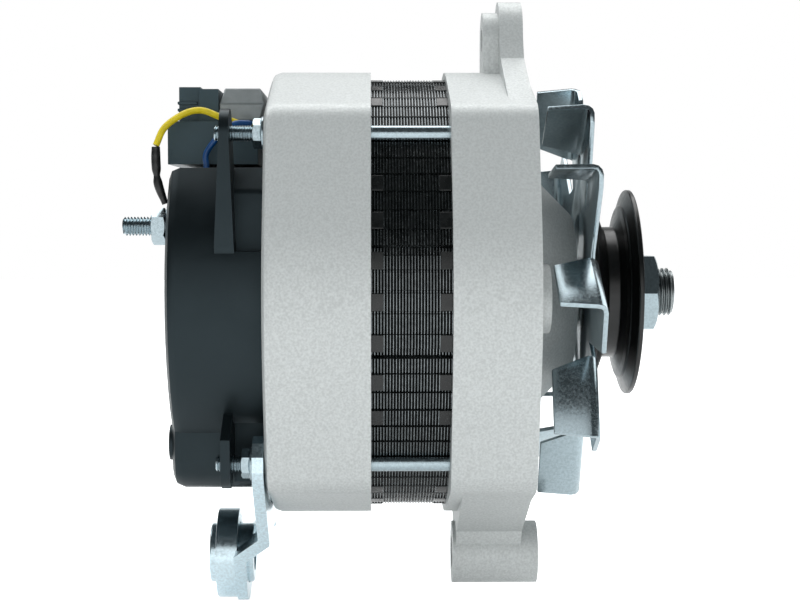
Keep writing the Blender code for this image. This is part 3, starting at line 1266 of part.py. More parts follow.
def drive_end():
    """Spacer, pulley, spring washer and nut on the shaft's front end."""
    bore = JOURNAL_RADIUS + SEAT
    spacer = turned("fan_spacer", [
        (bore, SPACER_FACE), (SPACER_RADIUS, SPACER_FACE), (SPACER_RADIUS, SPACER_FACE - SPACER_LENGTH),
        (bore, SPACER_FACE - SPACER_LENGTH),
    ], 16)
    paint(spacer, "bright steel")
    shade_round(spacer)
    front = PULLEY_BACK + PULLEY_RIM_LENGTH
    middle = (front + PULLEY_BACK) / 2
    root = PULLEY_ROOT_WIDTH / 2
    land = PULLEY_LAND_WIDTH
    web = PULLEY_FACE - PULLEY_WEB_SETBACK
    pulley = turned("drive_pulley", [
        (bore, PULLEY_FACE), (PULLEY_HUB_RADIUS, PULLEY_FACE),
        (PULLEY_HUB_RADIUS + PULLEY_WEB_SETBACK, web - PULLEY_LAND_WIDTH),
        (PULLEY_RADIUS - PULLEY_RIM_DISH, web), (PULLEY_RADIUS - PULLEY_RIM_EDGE, front),
        (PULLEY_RADIUS, front),
        (PULLEY_RADIUS, front - land), (PULLEY_ROOT_RADIUS, middle + root),
        (PULLEY_ROOT_RADIUS, middle - root), (PULLEY_RADIUS, PULLEY_BACK + land),
        (PULLEY_RADIUS, PULLEY_BACK), (bore, PULLEY_BACK),
    ], 36)
    paint(pulley, "black enamel")
    shade_round(pulley, 20.0)
    thread = THREAD_RADIUS + SEAT
    washer_back = WASHER_FACE - PULLEY_WASHER_LENGTH
    washer = turned("pulley_washer", [
        (thread, WASHER_FACE), (PULLEY_WASHER_RADIUS, WASHER_FACE), (PULLEY_WASHER_RADIUS, washer_back),
        (thread, washer_back),
    ], 20)
    paint(washer, "zinc-plated steel")
    shade_round(washer)
    nut = hexagon("pulley_nut", PULLEY_NUT_FLATS, NUT_FACE, NUT_FACE - PULLEY_NUT_LENGTH, turn=30.0)
    cut(nut, rod("pulley_nut_thread", thread, NUT_FACE + PASS, WASHER_FACE, 18))
    paint(nut, "zinc-plated steel")


def rectifier():
    """Two heat-sink plates with pressed diodes on a terminal board, and the output stud."""
    def horseshoe(name, radii, front, back, holes, opening=PLATE_OPENING):
        inner, outer = radii
        start, stop = 90.0 - opening, -270.0 + opening
        outline = arc(outer, start, stop, 16) + arc(inner, stop, start, 12)
        return extruded(name, [outline] + holes, front, back)

    seats = [polar(DIODE_PITCH_RADIUS, angle) for angle in DIODE_ANGLES]
    holes = [circle(DIODE_RADIUS + SEAT, 10, place) for place in seats]
    stud_hole = circle(STUD_RADIUS + SEAT, 12, STUD_PLACE)
    paint(horseshoe("negative_plate", PLATE_RADII, NEGATIVE_FRONT, NEGATIVE_BACK, holes), "grey aluminium")
    paint(horseshoe("positive_plate", PLATE_RADII, POSITIVE_FRONT, POSITIVE_BACK, holes + [stud_hole]),
          "grey aluminium")
    board = horseshoe("terminal_board", BOARD_RADII, POSITIVE_FRONT + SEAT, NEGATIVE_BACK - SEAT, [],
                      BOARD_OPENING)
    paint(board, "brown board")
    for index, place in enumerate(seats):
        for name, front, deep, leg in (
                ("negative", NEGATIVE_FRONT, NEGATIVE_DIODE_LENGTH, NEGATIVE_LEG_LENGTH),
                ("positive", POSITIVE_FRONT, DIODE_LENGTH, LEG_LENGTH)):
            back = front - deep
            diode = turned(f"{name}_diode_{index + 1}", [
                (0.0, front), (DIODE_RADIUS, front), (DIODE_RADIUS, back), (LEG_RADIUS, back),
                (LEG_RADIUS, back - leg), (0.0, back - leg),
            ], 10, False, place)
            paint(diode, "bright steel")
            shade_round(diode)
    drop, point = THREAD_POINT
    stud = turned("output_stud", [
        (0.0, POSITIVE_FRONT), (STUD_RADIUS, POSITIVE_FRONT), (STUD_RADIUS, STUD_END + point),
        (STUD_RADIUS - drop, STUD_END), (0.0, STUD_END),
    ], 12, False, STUD_PLACE)
    head = POSITIVE_BACK - SEAT
    join(stud, hexagon("stud_head", STUD_HEAD_FLATS, head, head - STUD_HEAD_LENGTH, STUD_PLACE))
    paint(stud, "zinc-plated steel")
    shade_round(stud)
    face = COVER_BACK - SEAT
    nut_face = face - TERMINAL_SHEET - SEAT
    nut = hexagon("output_nut", OUTPUT_NUT_FLATS, nut_face, nut_face - OUTPUT_NUT_LENGTH, STUD_PLACE, 30.0)
    cut(nut, rod("output_nut_thread", STUD_RADIUS + SEAT, nut_face + PASS,
                 nut_face - OUTPUT_NUT_LENGTH - PASS, 12, STUD_PLACE))
    paint(nut, "zinc-plated steel")
    y, z = STUD_PLACE
    side, top = TERMINAL_TAIL
    outline = arc(TERMINAL_RADIUS, -240.0, 60.0, 12, STUD_PLACE) + [(y + side, z + top), (y - side, z + top)]
    terminal = extruded("ring_terminal", [outline, circle(STUD_RADIUS + SEAT, 12, STUD_PLACE)],
                        face, face - TERMINAL_SHEET)
    paint(terminal, "zinc-plated steel")


def leads():
    """Yellow lead with its sleeve down to the output stud, blue lead into the cover."""
    face = -CASE_HALF_WIDTH - SEAT
    out = face - LEAD_STAND_OFF
    exit_station = CASE_FRONT - LEAD_EXIT_SETBACK
    exit_height = CASE_TOP - LEAD_EXIT_DROP
    top = exit_station - YELLOW_ARCH_REACH
    crest = exit_height + YELLOW_ARCH_RISE
    fall = exit_station - YELLOW_FALL_REACH
    barrel = STUD_PLACE[1] + SLEEVE_FOOT[1]
    sleeve_top = barrel + SLEEVE_LENGTH
    tip = COVER_BACK - SLEEVE_OVERHANG
    drift = (STUD_PLACE[0] - out) / 5
    yellow = [
        (exit_station, face, exit_height), (exit_station - LEAD_SPREAD, out, exit_height + SEAT),
        (exit_station - YELLOW_ARCH_REACH / 2, out + drift, crest - YELLOW_ARCH_RISE / 2),
        (top, out + 2 * drift, crest), ((top + fall) / 2, out + 3 * drift, crest - YELLOW_FALL / 2),
        (fall, out + 4 * drift, crest - 2 * YELLOW_FALL), (tip, STUD_PLACE[0], sleeve_top + YELLOW_FALL * 2),
    ]
    route = smooth_route(yellow, LEAD_STEP)
    paint(wire("yellow_lead", route, YELLOW_RADIUS), "yellow lead")
    sleeve = [
        route[-1] + (route[-1] - route[-2]).normalized() * SINK_IN, (tip, STUD_PLACE[0], sleeve_top),
        (tip + LEAD_SPREAD, STUD_PLACE[0], (sleeve_top + barrel) / 2),
        (COVER_BACK - SLEEVE_FOOT[0], STUD_PLACE[0], barrel),
    ]
    paint(wire("lead_sleeve", smooth_route(sleeve, LEAD_STEP), SLEEVE_RADIUS), "black nylon")
    start = CASE_FRONT - BLUE_EXIT_SETBACK
    side = -BLUE_ENTRY_SIDE
    bend = exit_height - BLUE_DIVE
    blue = [
        (start, face, exit_height), (start - LEAD_SPREAD, out, exit_height),
        (start - BLUE_DIVE, side - SEAT, exit_height - LEAD_SPREAD),
        (start - 2 * BLUE_DIVE, side - PASS, bend), (BLUE_ENTRY_STATION, side, (bend + COVER_TOP) / 2),
        (BLUE_ENTRY_STATION, side, COVER_TOP + PASS),
        (BLUE_ENTRY_STATION, side, COVER_TOP - COVER_WALL - PASS),
    ]
    paint(wire("blue_lead", smooth_route(blue, LEAD_STEP), BLUE_RADIUS), "blue lead")


def rear_strap():
    """Bent steel strap from the two lower bolts down to its eye, with a welded collar and a bush."""
    ease = STRAP_BEND_EASE
    side_view = [
        (STRAP_FRONT, STRAP_TOP), (STRAP_FRONT, STRAP_BEND_HEIGHT - ease),
        (EYE_BACK + STRAP_SHEET, STRAP_EYE_TOP - ease), (EYE_BACK + STRAP_SHEET, STRAP_END),
        (EYE_BACK, STRAP_END), (EYE_BACK, STRAP_EYE_TOP + ease), (STRAP_BACK, STRAP_BEND_HEIGHT + ease),
        (STRAP_BACK, STRAP_TOP),
    ]
    strap = extruded("rear_strap", [side_view], HOUSING_RADIUS, -HOUSING_RADIUS, True)
    tip = STRAP_TIP_RADIUS
    corner = (BOLT_OFFSET, -BOLT_OFFSET)
    low = (0.0, PIVOT_HEIGHT)
    waist = -BOLT_OFFSET - STRAP_WAIST_DROP
    chin = (CHIN_HALF_WIDTH - COVER_WALL, CHIN_FLOOR + SEAT)
    edge = [(STRAP_WAIST_HALF_WIDTH, waist), (chin[0] - tip, (waist + chin[1]) / 2), chin]
    front_view = (arc(tip, 150.0, -45.0, 6, corner) + arc(STRAP_EYE_RADIUS, -20.0, -160.0, 8, low)
                  + arc(tip, 225.0, 30.0, 6, (-corner[0], corner[1]))
                  + [(-y, z) for y, z in reversed(edge)] + edge)
    trim = extruded("strap_trim", [front_view], REAR_FACE + PASS, EYE_BACK - PASS)
    combine(strap, trim, "INTERSECT")
    join(strap, rod("strap_collar", COLLAR_RADIUS, EYE_BACK + SINK_IN, EYE_BACK - COLLAR_LENGTH, 24, low))
    cut(strap, rod("strap_eye", BUSH_RADIUS + SEAT, STRAP_FRONT, EYE_BACK - COLLAR_LENGTH - PASS, 24, low))
    for side in (-1, 1):
        cut(strap, rod(f"strap_hole_{side}", BOLT_RADIUS + SEAT, STRAP_FRONT + PASS, STRAP_BACK - PASS,
                       12, (side * corner[0], corner[1])))
    paint(strap, "zinc-plated steel")
    front = EYE_BACK + STRAP_SHEET + BUSH_OVERHANG
    back = front - BUSH_LENGTH
    bush = turned("sliding_bush", [
        (BUSH_BORE_RADIUS, front), (BUSH_RADIUS - SINK_IN, front), (BUSH_RADIUS, front - SINK_IN),
        (BUSH_RADIUS, back + SINK_IN), (BUSH_RADIUS - SINK_IN, back), (BUSH_BORE_RADIUS, back),
    ], 24, True, low)
    paint(bush, "zinc-plated steel")
    shade_round(bush)


def build():
    """Make every piece of the alternator."""
    clear_scene()
    front_housing()
    rear_housing()
    stator_core()
    stator_winding()
    bearing("front", JOURNAL_RADIUS, FRONT_BEARING_RADIUS, FRONT_BEARING_WIDTH, FRONT_BEARING_FACE,
            FRONT_BALL_RADIUS)
    bearing("rear", REAR_JOURNAL_RADIUS, REAR_BEARING_RADIUS, REAR_BEARING_WIDTH, REAR_BEARING_FACE,
            REAR_BALL_RADIUS)
    bearing_retainer()
    through_bolts()
    rear_cover()
    brush_gear()
    regulator()
    rotor()
    cooling_fan()
    drive_end()
    rectifier()
    leads()
    rear_strap()


build()
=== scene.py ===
"""Looks of a belt-driven alternator, built round its CAD solids.

The shaft lies along X with the pulley at its front, and the adjusting lug points up along Z.
Stations are read from the CAD pieces, so each visible piece sits where its solid is.
"""
import json
import math
import random

import bmesh
import bpy
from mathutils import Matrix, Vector


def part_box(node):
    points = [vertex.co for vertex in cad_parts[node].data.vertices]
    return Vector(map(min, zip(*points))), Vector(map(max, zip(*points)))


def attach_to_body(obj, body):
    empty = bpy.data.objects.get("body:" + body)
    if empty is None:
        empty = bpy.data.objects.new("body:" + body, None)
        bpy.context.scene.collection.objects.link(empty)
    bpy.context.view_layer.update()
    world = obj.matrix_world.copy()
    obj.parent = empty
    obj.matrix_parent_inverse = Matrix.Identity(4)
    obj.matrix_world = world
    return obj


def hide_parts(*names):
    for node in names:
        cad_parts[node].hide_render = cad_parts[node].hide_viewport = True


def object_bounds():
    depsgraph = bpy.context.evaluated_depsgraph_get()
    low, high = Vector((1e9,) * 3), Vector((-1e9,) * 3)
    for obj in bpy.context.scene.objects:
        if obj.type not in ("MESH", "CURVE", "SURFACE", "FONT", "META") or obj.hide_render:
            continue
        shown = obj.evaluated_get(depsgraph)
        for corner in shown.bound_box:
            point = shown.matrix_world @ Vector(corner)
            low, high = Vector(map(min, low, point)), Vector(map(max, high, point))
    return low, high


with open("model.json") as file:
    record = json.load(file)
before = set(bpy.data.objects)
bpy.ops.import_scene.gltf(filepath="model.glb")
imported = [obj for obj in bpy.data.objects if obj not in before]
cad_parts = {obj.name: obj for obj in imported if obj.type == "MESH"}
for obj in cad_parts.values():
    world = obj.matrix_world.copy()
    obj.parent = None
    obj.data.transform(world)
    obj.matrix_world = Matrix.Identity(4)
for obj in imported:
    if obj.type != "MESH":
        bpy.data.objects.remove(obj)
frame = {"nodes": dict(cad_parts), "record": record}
CAD_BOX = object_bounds()
NODES = frame["nodes"]
BODY_OF = {node: body for body, nodes in frame["record"]["behaviour"]["bodies"].items() for node in nodes}

bl_info = {
    "name": "Belt-driven alternator",
    "version": (1, 0, 0),
    "blender": (4, 5, 0),
    "location": "3D View > Sidebar > Alternator",
    "description": "Dresses the alternator's solids with its castings, laminations, fan, threads and leads",
    "category": "Object",
}

# Standard threads: radius, pitch and depth of the V
SHAFT_THREAD = (0.008, 0.0015, 0.00092)
BOLT_THREAD = (0.0025, 0.0008, 0.00049)
STUD_THREAD = (0.003, 0.001, 0.00061)

# Bolts stand on a square round the shaft
BOLT_OFFSET = 0.050
BOLT_NOTCH = 0.003

# Stack of laminations: grooves and flutes as (half width in degrees, depth)
STACK_RADIUS = 0.070
STACK_BORE = 0.049
STACK_TEETH = 36
STACK_PITCH = 360.0 / STACK_TEETH
STACK_HIDDEN = 0.003
THIN_GROOVE = (0.35, 0.0007)
WIDE_FLUTE = (1.3, 0.0018)
GROOVE_FLOOR_SHARE = 0.6

# One sheet of the stack as (share of its thickness, share of the groove's depth); row 2 is its crest
SHEET_FORM = ((0.0, 1.0), (0.3, 0.4), (0.38, 0.0), (0.62, 0.0), (0.7, 0.4))
SHEET_CREST = 2
SHEET_SCATTER = 0.00004
BLOCK_PROUD = 0.00012
BLOCK_DEPTH = 0.002

# One turn of a thread as (share of the pitch, share of the V's depth)
THREAD_FORM = ((0.0, 0.0), (0.12, 0.0), (0.5, 1.0), (0.62, 1.0))
THREAD_CHAMFER = 1.1
RUN_OUT = 0.0002

# Hexagon nuts: chamfer cone, the countersink of the bore, and how far the bore is under the thread
NUT_STEPS = 72
NUT_CONE_SHARE = 0.985
NUT_PLAIN_SHARE = 0.999
NUT_CHAMFER_ANGLE = 28.0
NUT_SINK_DEPTH = 0.0006
NUT_SINK_WIDTH = 0.0005
NUT_UNDERSIZE = 0.0001
NUT_TURN = 30.0

# Fasteners: width across the flats, and how far the thread runs on past the nut
BOLT_FLATS = 0.008
BOLT_HEAD = 0.0035
BOLT_HEAD_DIMPLE = 0.0006
BOLT_THREAD_ON = 0.004
FLANGE_RADIUS = 0.0052
FLANGE_TOP_RADIUS = 0.0040
FLANGE_EDGE = 0.0004
FLANGE_HEIGHT = 0.0010
STUD_FLATS = 0.010
STUD_THREAD_ON = 0.003
PULLEY_NUT_FLATS = 0.024
SHAFT_THREAD_IN = 0.001

# Regulator's heat sink: height of the slopes, how far they lean in, and its chamfered ends
SINK_BROW = 0.0052
SINK_SLOPE = 0.0038
SINK_NOSE = 0.0014

# Pulley: front face as (radius, depth behind the hub's face), rim and V groove
PULLEY_BORE = 0.0086
PULLEY_FACE = -0.0161
PULLEY_DISH = ((0.0170, 0.0), (0.0195, 0.0035), (0.0285, 0.0020))
PULLEY_RIM_EDGE = 0.0022
PULLEY_EDGE = 0.0004
GROOVE_SHIFT = 0.0002
GROOVE_LAND = 0.0015
GROOVE_ROOT = 0.0217
GROOVE_HALF_WIDTH = 0.002

# Plain journals of the shaft from its thread to its rear end, as (radius, station)
SHAFT_JOURNALS = (
    (0.0079, -0.0161), (0.0085, -0.0161), (0.0085, -0.1190), (0.0075, -0.1190), (0.0075, -0.1230),
    (0.006, -0.1230), (0.006, -0.1350), (0.0046, -0.1350),
)

# Shading: faces within these angles are smooth, or flat; welds close the seams of the CAD faces
SMOOTH_ANGLE = 33.0
EDGE_ANGLE = 32.0
FLAT_ANGLE = 0.3
WELD_DISTANCE = 0.000004
FINE_EDGE = 0.0002
WAVE_STEP = math.tau / 20.0  # m between the bands of a wave texture of scale 1

# Studio: lamps as name, place, size and watts, all aimed at one point; levels of the white parts
LAMPS = (
    ("key", (-0.25, 0.35, 0.95), (1.3, 0.7), 8.4),
    ("front_softbox", (-0.25, -1.1, 0.03), (1.3, 0.75), 3.2),
    ("rim", (0.7, 0.35, 0.5), (0.6, 0.6), 2.4),
)
LAMP_TARGET = (-0.09, 0.0, 0.0)
FLOOR_SIZE = 3.0
FLOOR_GAP = 0.0005
FLOOR_GLOW = 0.78
FLOOR_SHEEN = 0.45
FILL_LEVEL = 0.74
DIM_LEVEL = 0.085
BACKDROP_LEVEL = 0.9
BACKDROP_SIDE = (0.72, 0.9)
BACKDROP_TOP = (0.5, 0.3)
CAMERA_PLACE = (-0.1003, -0.550, 0.0238)
CAMERA_AIM = (0.01758, 1.0, -0.04812)
CAMERA_LENS = 74.25
CAMERA_SENSOR = 36.0

# Routes of the regulator's leads: out of the case, over the cover, to the stud or into the cover
YELLOW_ROUTE = (
    (-0.1420, -0.0243, 0.0545), (-0.1478, -0.0281, 0.0564), (-0.1535, -0.0298, 0.0583),
    (-0.1590, -0.0316, 0.0569), (-0.1645, -0.0333, 0.0527), (-0.1670, -0.0350, 0.0471),
)
SLEEVE_ROUTE = (
    (-0.16705, -0.0350, 0.0467), (-0.1670, -0.0350, 0.0415), (-0.1664, -0.0350, 0.0353),
    (-0.1642, -0.0350, 0.0290),
)
BLUE_ROUTE = (
    (-0.1386, -0.0243, 0.0545), (-0.1392, -0.0264, 0.0545), (-0.1436, -0.0293, 0.0539),
    (-0.1486, -0.0300, 0.0495), (-0.1520, -0.0290, 0.0448), (-0.1520, -0.0290, 0.0410),
    (-0.1520, -0.0290, 0.0366),
)
YELLOW_RADIUS = 0.00105
SLEEVE_RADIUS = 0.00145
BLUE_RADIUS = 0.00095
# Where the sleeve is shrunk in, as (share of its run, spread, depth)
SLEEVE_PINCHES = ((0.0, 0.1, 0.1), (0.5, 0.07, 0.3), (1.0, 0.2, 0.3))


def linear(code):
    """An sRGB hex colour as linear red, green, blue and alpha."""
    values = [int(code[index:index + 2], 16) / 255.0 for index in (1, 3, 5)]
    return tuple(value / 12.92 if value <= 0.04045 else ((value + 0.055) / 1.055) ** 2.4
                 for value in values) + (1.0,)


def colour(name, code, description):
    """A colour the user can change, with its default."""
    return bpy.props.FloatVectorProperty(name=name, description=description, default=linear(code),
                                         size=4, min=0.0, max=1.0, subtype="COLOR")


def distance(name, metres, description):
    """A length the user can change, with its default."""
    return bpy.props.FloatProperty(name=name, description=description, default=metres, min=0.0,
                                   precision=5, subtype="DISTANCE", unit="LENGTH")


class AlternatorColours(bpy.types.PropertyGroup):
    """Colours of the alternator's finishes."""

    casting: colour("Casting", "#cacdcc", "Blasted die-cast aluminium of the housings")
    zinc: colour("Zinc plate", "#a9b8be", "Bright zinc on the pressed and threaded steel")
    # Painted highlight: the crests of the stack's sheets take this bright metal colour
    lamination: colour("Laminations", "#858b8d", "Rubbed edges of the laminations")
    varnish: colour("Varnish", "#0d0f0f", "Impregnating varnish over the ends of the stack")
    enamel: colour("Pulley enamel", "#070808", "Stoved enamel on the pulley")
    nylon: colour("Cover nylon", "#0b1012", "Moulded cover and regulator case")
    heat_sink: colour("Heat sink", "#868c8d", "Die-cast heat sink of the regulator")
    steel: colour("Turned steel", "#8f9596", "Shaft, bearings and bush")
    yellow: colour("Yellow lead", "#e2cb1e", "Insulation of the lead to the output stud")
    blue: colour("Blue lead", "#0a4a86", "Insulation of the lead into the cover")
    floor: colour("Floor", "#e8e8e8", "Studio floor")


class AlternatorSizes(bpy.types.PropertyGroup):
    """Sizes of the fine detail."""

    lamination: distance("Lamination", 0.0009, "Pitch of the stator's laminations")
    lamination_groove: distance("Lamination groove", 0.00045, "Depth between two laminations")
    end_block: distance("End block", 0.0037, "Length of the smooth end blocks that show past the housing")
    casting_edge: distance("Casting edge", 0.0006, "Radius on the edges of the castings")
    moulding_edge: distance("Moulding edge", 0.0004, "Radius on the edges of the mouldings")
    sheet_edge: distance("Sheet edge", 0.0003, "Radius on the edges of the pressed sheet")
    blast_grit: distance("Blast grit", 0.0007, "Size of the dimples that blasting leaves in the castings")


def add_node(tree, kind, inputs=None, **settings):
    """Add a node with its settings, and set or link its inputs."""
    made = tree.nodes.new(kind)
    for name, value in settings.items():
        setattr(made, name, value)
    for key, value in (inputs or {}).items():
        if isinstance(value, bpy.types.NodeSocket):
            tree.links.new(value, made.inputs[key])
        else:
            made.inputs[key].default_value = value
    return made


def start_material(name):
    """A material without nodes, and the object coordinates its patterns use, in metres."""
    material = bpy.data.materials.new(name)
    material.use_nodes = True
    material.node_tree.nodes.clear()
    place = add_node(material.node_tree, "ShaderNodeTexCoord").outputs["Object"]
    return material, material.node_tree, place


def close_material(material, *steps):
    """Give the material its shader, with the inputs that its steps have made."""
    tree = material.node_tree
    inputs = {}
    for step in steps:
        inputs.update(step)
    shader = add_node(tree, "ShaderNodeBsdfPrincipled", inputs)
    add_node(tree, "ShaderNodeOutputMaterial", {"Surface": shader.outputs["BSDF"]})
    return material


def clouded(tree, factor, tones, shine, spread=(0.35, 0.65)):
    """Let a pattern vary the colour between two tones and the roughness between two values."""
    low, high = spread
    share = add_node(tree, "ShaderNodeMapRange", {"Value": factor, "From Min": low, "From Max": high})
    tint = add_node(tree, "ShaderNodeMix", {"Factor": share.outputs["Result"], 6: tones[0], 7: tones[1]},
                    data_type="RGBA")
    rough = add_node(tree, "ShaderNodeMapRange", {"Value": factor, "From Min": low, "From Max": high,
                                                  "To Min": shine[0], "To Max": shine[1]})
    return {"Base Color": tint.outputs[2], "Roughness": rough.outputs["Result"]}


def dimpled(tree, place, size, strength, depth):
    """Small bumps of the given size and depth in metres."""
    grain = add_node(tree, "ShaderNodeTexNoise", {"Vector": place, "Scale": 1.0 / size, "Detail": 2.0})
    bump = add_node(tree, "ShaderNodeBump", {"Height": grain.outputs["Fac"], "Strength": strength,
                                             "Distance": depth})
    return {"Normal": bump.outputs["Normal"]}


def shade(code, factor):
    """The same colour, darker or lighter."""
    return tuple(min(1.0, value * factor) for value in code[:3]) + (1.0,)


def blasted_aluminium(colours, sizes):
    """Die-cast aluminium, shot-blasted: even pale grey with a fine matt sparkle."""
    material, tree, place = start_material("blasted_die_cast_aluminium")
    # Blast marks are about 0.2 mm wide, drawn coarser so that they show
    grit = add_node(tree, "ShaderNodeTexNoise", {"Vector": place, "Scale": 1.0 / sizes.blast_grit,
                                                 "Detail": 3.0})
    tones = (shade(colours.casting, 0.9), shade(colours.casting, 1.06))
    return close_material(material, clouded(tree, grit.outputs["Fac"], tones, (0.6, 0.46)),
                          dimpled(tree, place, sizes.blast_grit, 0.4, 0.00012), {"Metallic": 0.35})


def zinc_plate(name, code):
    """Bright zinc on pressed steel: bluish and quite shiny, with the fine speckle of the bath."""
    material, tree, place = start_material(name)
    # The speckle is about 0.2 mm wide, drawn coarser so that it shows
    cloud = add_node(tree, "ShaderNodeTexNoise", {"Vector": place, "Scale": 1.0 / 0.0008, "Detail": 3.0})
    tones = (shade(code, 0.86), shade(code, 1.04))
    return close_material(material, clouded(tree, cloud.outputs["Fac"], tones, (0.17, 0.27)),
                          dimpled(tree, place, 0.0007, 0.14, 0.00004), {"Metallic": 1.0})


def laminations_painted_highlight(colours):
    """Electrical steel in black varnish; bright metal on its thin crests is a painted highlight."""
    material, tree, place = start_material("electrical_steel_painted_highlight")
    wear = add_node(tree, "ShaderNodeTexNoise", {"Vector": place, "Scale": 1.0 / 0.0014, "Detail": 3.0})
    tones = (shade(colours.lamination, 0.6), colours.lamination)
    return close_material(material, clouded(tree, wear.outputs["Fac"], tones, (0.2, 0.3)),
                          dimpled(tree, place, 0.0012, 0.1, 0.00004), {"Metallic": 1.0})


def thick_varnish(colours):
    """Impregnating varnish run together over the ends of the stack: black, smooth, glossy."""
    material, tree, place = start_material("impregnating_varnish")
    pool = add_node(tree, "ShaderNodeTexNoise", {"Vector": place, "Scale": 1.0 / 0.003, "Detail": 2.0})
    tones = (colours.varnish, shade(colours.varnish, 1.8))
    return close_material(material, clouded(tree, pool.outputs["Fac"], tones, (0.2, 0.34)),
                          dimpled(tree, place, 0.0025, 0.15, 0.0001))


def stoved_enamel(colours):
    """Black stoved enamel on a turned pulley: satin, with slight orange peel."""
    material, tree, place = start_material("black_stoved_enamel")
    peel = add_node(tree, "ShaderNodeTexNoise", {"Vector": place, "Scale": 1.0 / 0.0022, "Detail": 1.0})
    tones = (colours.enamel, shade(colours.enamel, 1.6))
    return close_material(material, clouded(tree, peel.outputs["Fac"], tones, (0.28, 0.34)),
                          dimpled(tree, place, 0.0022, 0.12, 0.00006))


def moulded_nylon(name, code):
    """Glass-filled nylon, moulded black: satin, bluish, with a fine spark-eroded grain."""
    material, tree, place = start_material(name)
    flow = add_node(tree, "ShaderNodeTexNoise", {"Vector": place, "Scale": 1.0 / 0.012, "Detail": 2.0})
    tones = (shade(code, 0.85), shade(code, 1.2))
    return close_material(material, clouded(tree, flow.outputs["Fac"], tones, (0.36, 0.46)),
                          dimpled(tree, place, 0.0006, 0.2, 0.00006),
                          {"Specular Tint": linear("#cbe6f1")})


def cast_heat_sink(colours):
    """Die-cast aluminium left as cast: darker grey, smooth, faint flow marks."""
    material, tree, place = start_material("as_cast_aluminium")
    flow = add_node(tree, "ShaderNodeTexNoise", {"Vector": place, "Scale": 1.0 / 0.004, "Detail": 3.0})
    tones = (shade(colours.heat_sink, 0.85), colours.heat_sink)
    return close_material(material, clouded(tree, flow.outputs["Fac"], tones, (0.46, 0.38)),
                          dimpled(tree, place, 0.002, 0.15, 0.0001), {"Metallic": 0.5})


def turned_steel(colours):
    """Turned and ground steel: bright bands from fine tool marks round the shaft axis."""
    material, tree, place = start_material("turned_steel")
    # Feed marks are about 0.1 mm apart, drawn at 0.8 mm so that they show
    marks = add_node(tree, "ShaderNodeTexWave", {"Vector": place, "Scale": WAVE_STEP / 0.0008,
                                                 "Distortion": 0.6}, bands_direction="X")
    tones = (shade(colours.steel, 0.8), colours.steel)
    return close_material(material, clouded(tree, marks.outputs["Fac"], tones, (0.24, 0.34), (0.0, 1.0)),
                          dimpled(tree, place, 0.0012, 0.08, 0.00003), {"Metallic": 1.0})


def enamelled_wire():
    """Copper wire in brown enamel, wound and dipped: glossy red-brown strands."""
    material, tree, place = start_material("enamelled_copper_wire")
    strands = add_node(tree, "ShaderNodeTexWave", {"Vector": place, "Scale": WAVE_STEP / 0.0024,
                                                   "Distortion": 3.0}, bands_direction="DIAGONAL")
    ridges = add_node(tree, "ShaderNodeBump", {"Height": strands.outputs["Fac"], "Strength": 0.6,
                                               "Distance": 0.0003})
    # Painted shade: the colour follows the strands' bump, darker in the hollows between the strands
    tones = (linear("#4a1d10"), linear("#8c3f1f"))
    return close_material(material, clouded(tree, strands.outputs["Fac"], tones, (0.4, 0.28), (0.1, 0.9)),
                          {"Normal": ridges.outputs["Normal"], "Metallic": 0.3})


def plain_copper():
    """Drawn copper slip rings, polished by the brushes: warm, bright, fine rubbing lines."""
    material, tree, place = start_material("drawn_copper")
    lines = add_node(tree, "ShaderNodeTexWave", {"Vector": place, "Scale": WAVE_STEP / 0.0008,
                                                 "Distortion": 0.4}, bands_direction="X")
    tones = (linear("#a5603a"), linear("#c88458"))
    return close_material(material, clouded(tree, lines.outputs["Fac"], tones, (0.34, 0.24), (0.0, 1.0)),
                          {"Metallic": 1.0})


def pressed_carbon():
    """Electrographite brush: dull dark grey with copper-coloured specks."""
    material, tree, place = start_material("electrographite")
    specks = add_node(tree, "ShaderNodeTexNoise", {"Vector": place, "Scale": 1.0 / 0.0004, "Detail": 1.0})
    tones = (linear("#232426"), linear("#5b4334"))
    return close_material(material, clouded(tree, specks.outputs["Fac"], tones, (0.6, 0.45), (0.55, 0.75)),
                          {"Metallic": 0.2})


def nickelled_steel():
    """Nickel-plated diode cases: smooth warm grey with slight stains."""
    material, tree, place = start_material("nickel_plated_steel")
    stains = add_node(tree, "ShaderNodeTexNoise", {"Vector": place, "Scale": 1.0 / 0.003, "Detail": 2.0})
    tones = (linear("#8f8d86"), linear("#b5b3ab"))
    return close_material(material, clouded(tree, stains.outputs["Fac"], tones, (0.3, 0.22)),
                          {"Metallic": 1.0})


def lead_insulation(name, code):
    """Extruded PVC insulation: even colour, soft shine, slight waviness from the strands."""
    material, tree, place = start_material(name)
    wave = add_node(tree, "ShaderNodeTexNoise", {"Vector": place, "Scale": 1.0 / 0.002, "Detail": 1.0})
    tones = (shade(code, 0.85), code)
    return close_material(material, clouded(tree, wave.outputs["Fac"], tones, (0.4, 0.34)),
                          dimpled(tree, place, 0.002, 0.2, 0.0001))


def shrink_sleeve():
    """Heat-shrink sleeve: dull black with slight wrinkles round the lead."""
    material, tree, place = start_material("heat_shrink_sleeve")
    wrinkles = add_node(tree, "ShaderNodeTexWave", {"Vector": place, "Scale": WAVE_STEP / 0.0032,
                                                    "Distortion": 4.0}, bands_direction="Z")
    folds = add_node(tree, "ShaderNodeBump", {"Height": wrinkles.outputs["Fac"], "Strength": 0.4,
                                              "Distance": 0.0001})
    # Painted shade: the colour follows the wrinkles' bump, darker in their folds
    tones = (linear("#0b0c0d"), linear("#191b1c"))
    return close_material(material, clouded(tree, wrinkles.outputs["Fac"], tones, (0.45, 0.36), (0.0, 1.0)),
                          {"Normal": folds.outputs["Normal"]})


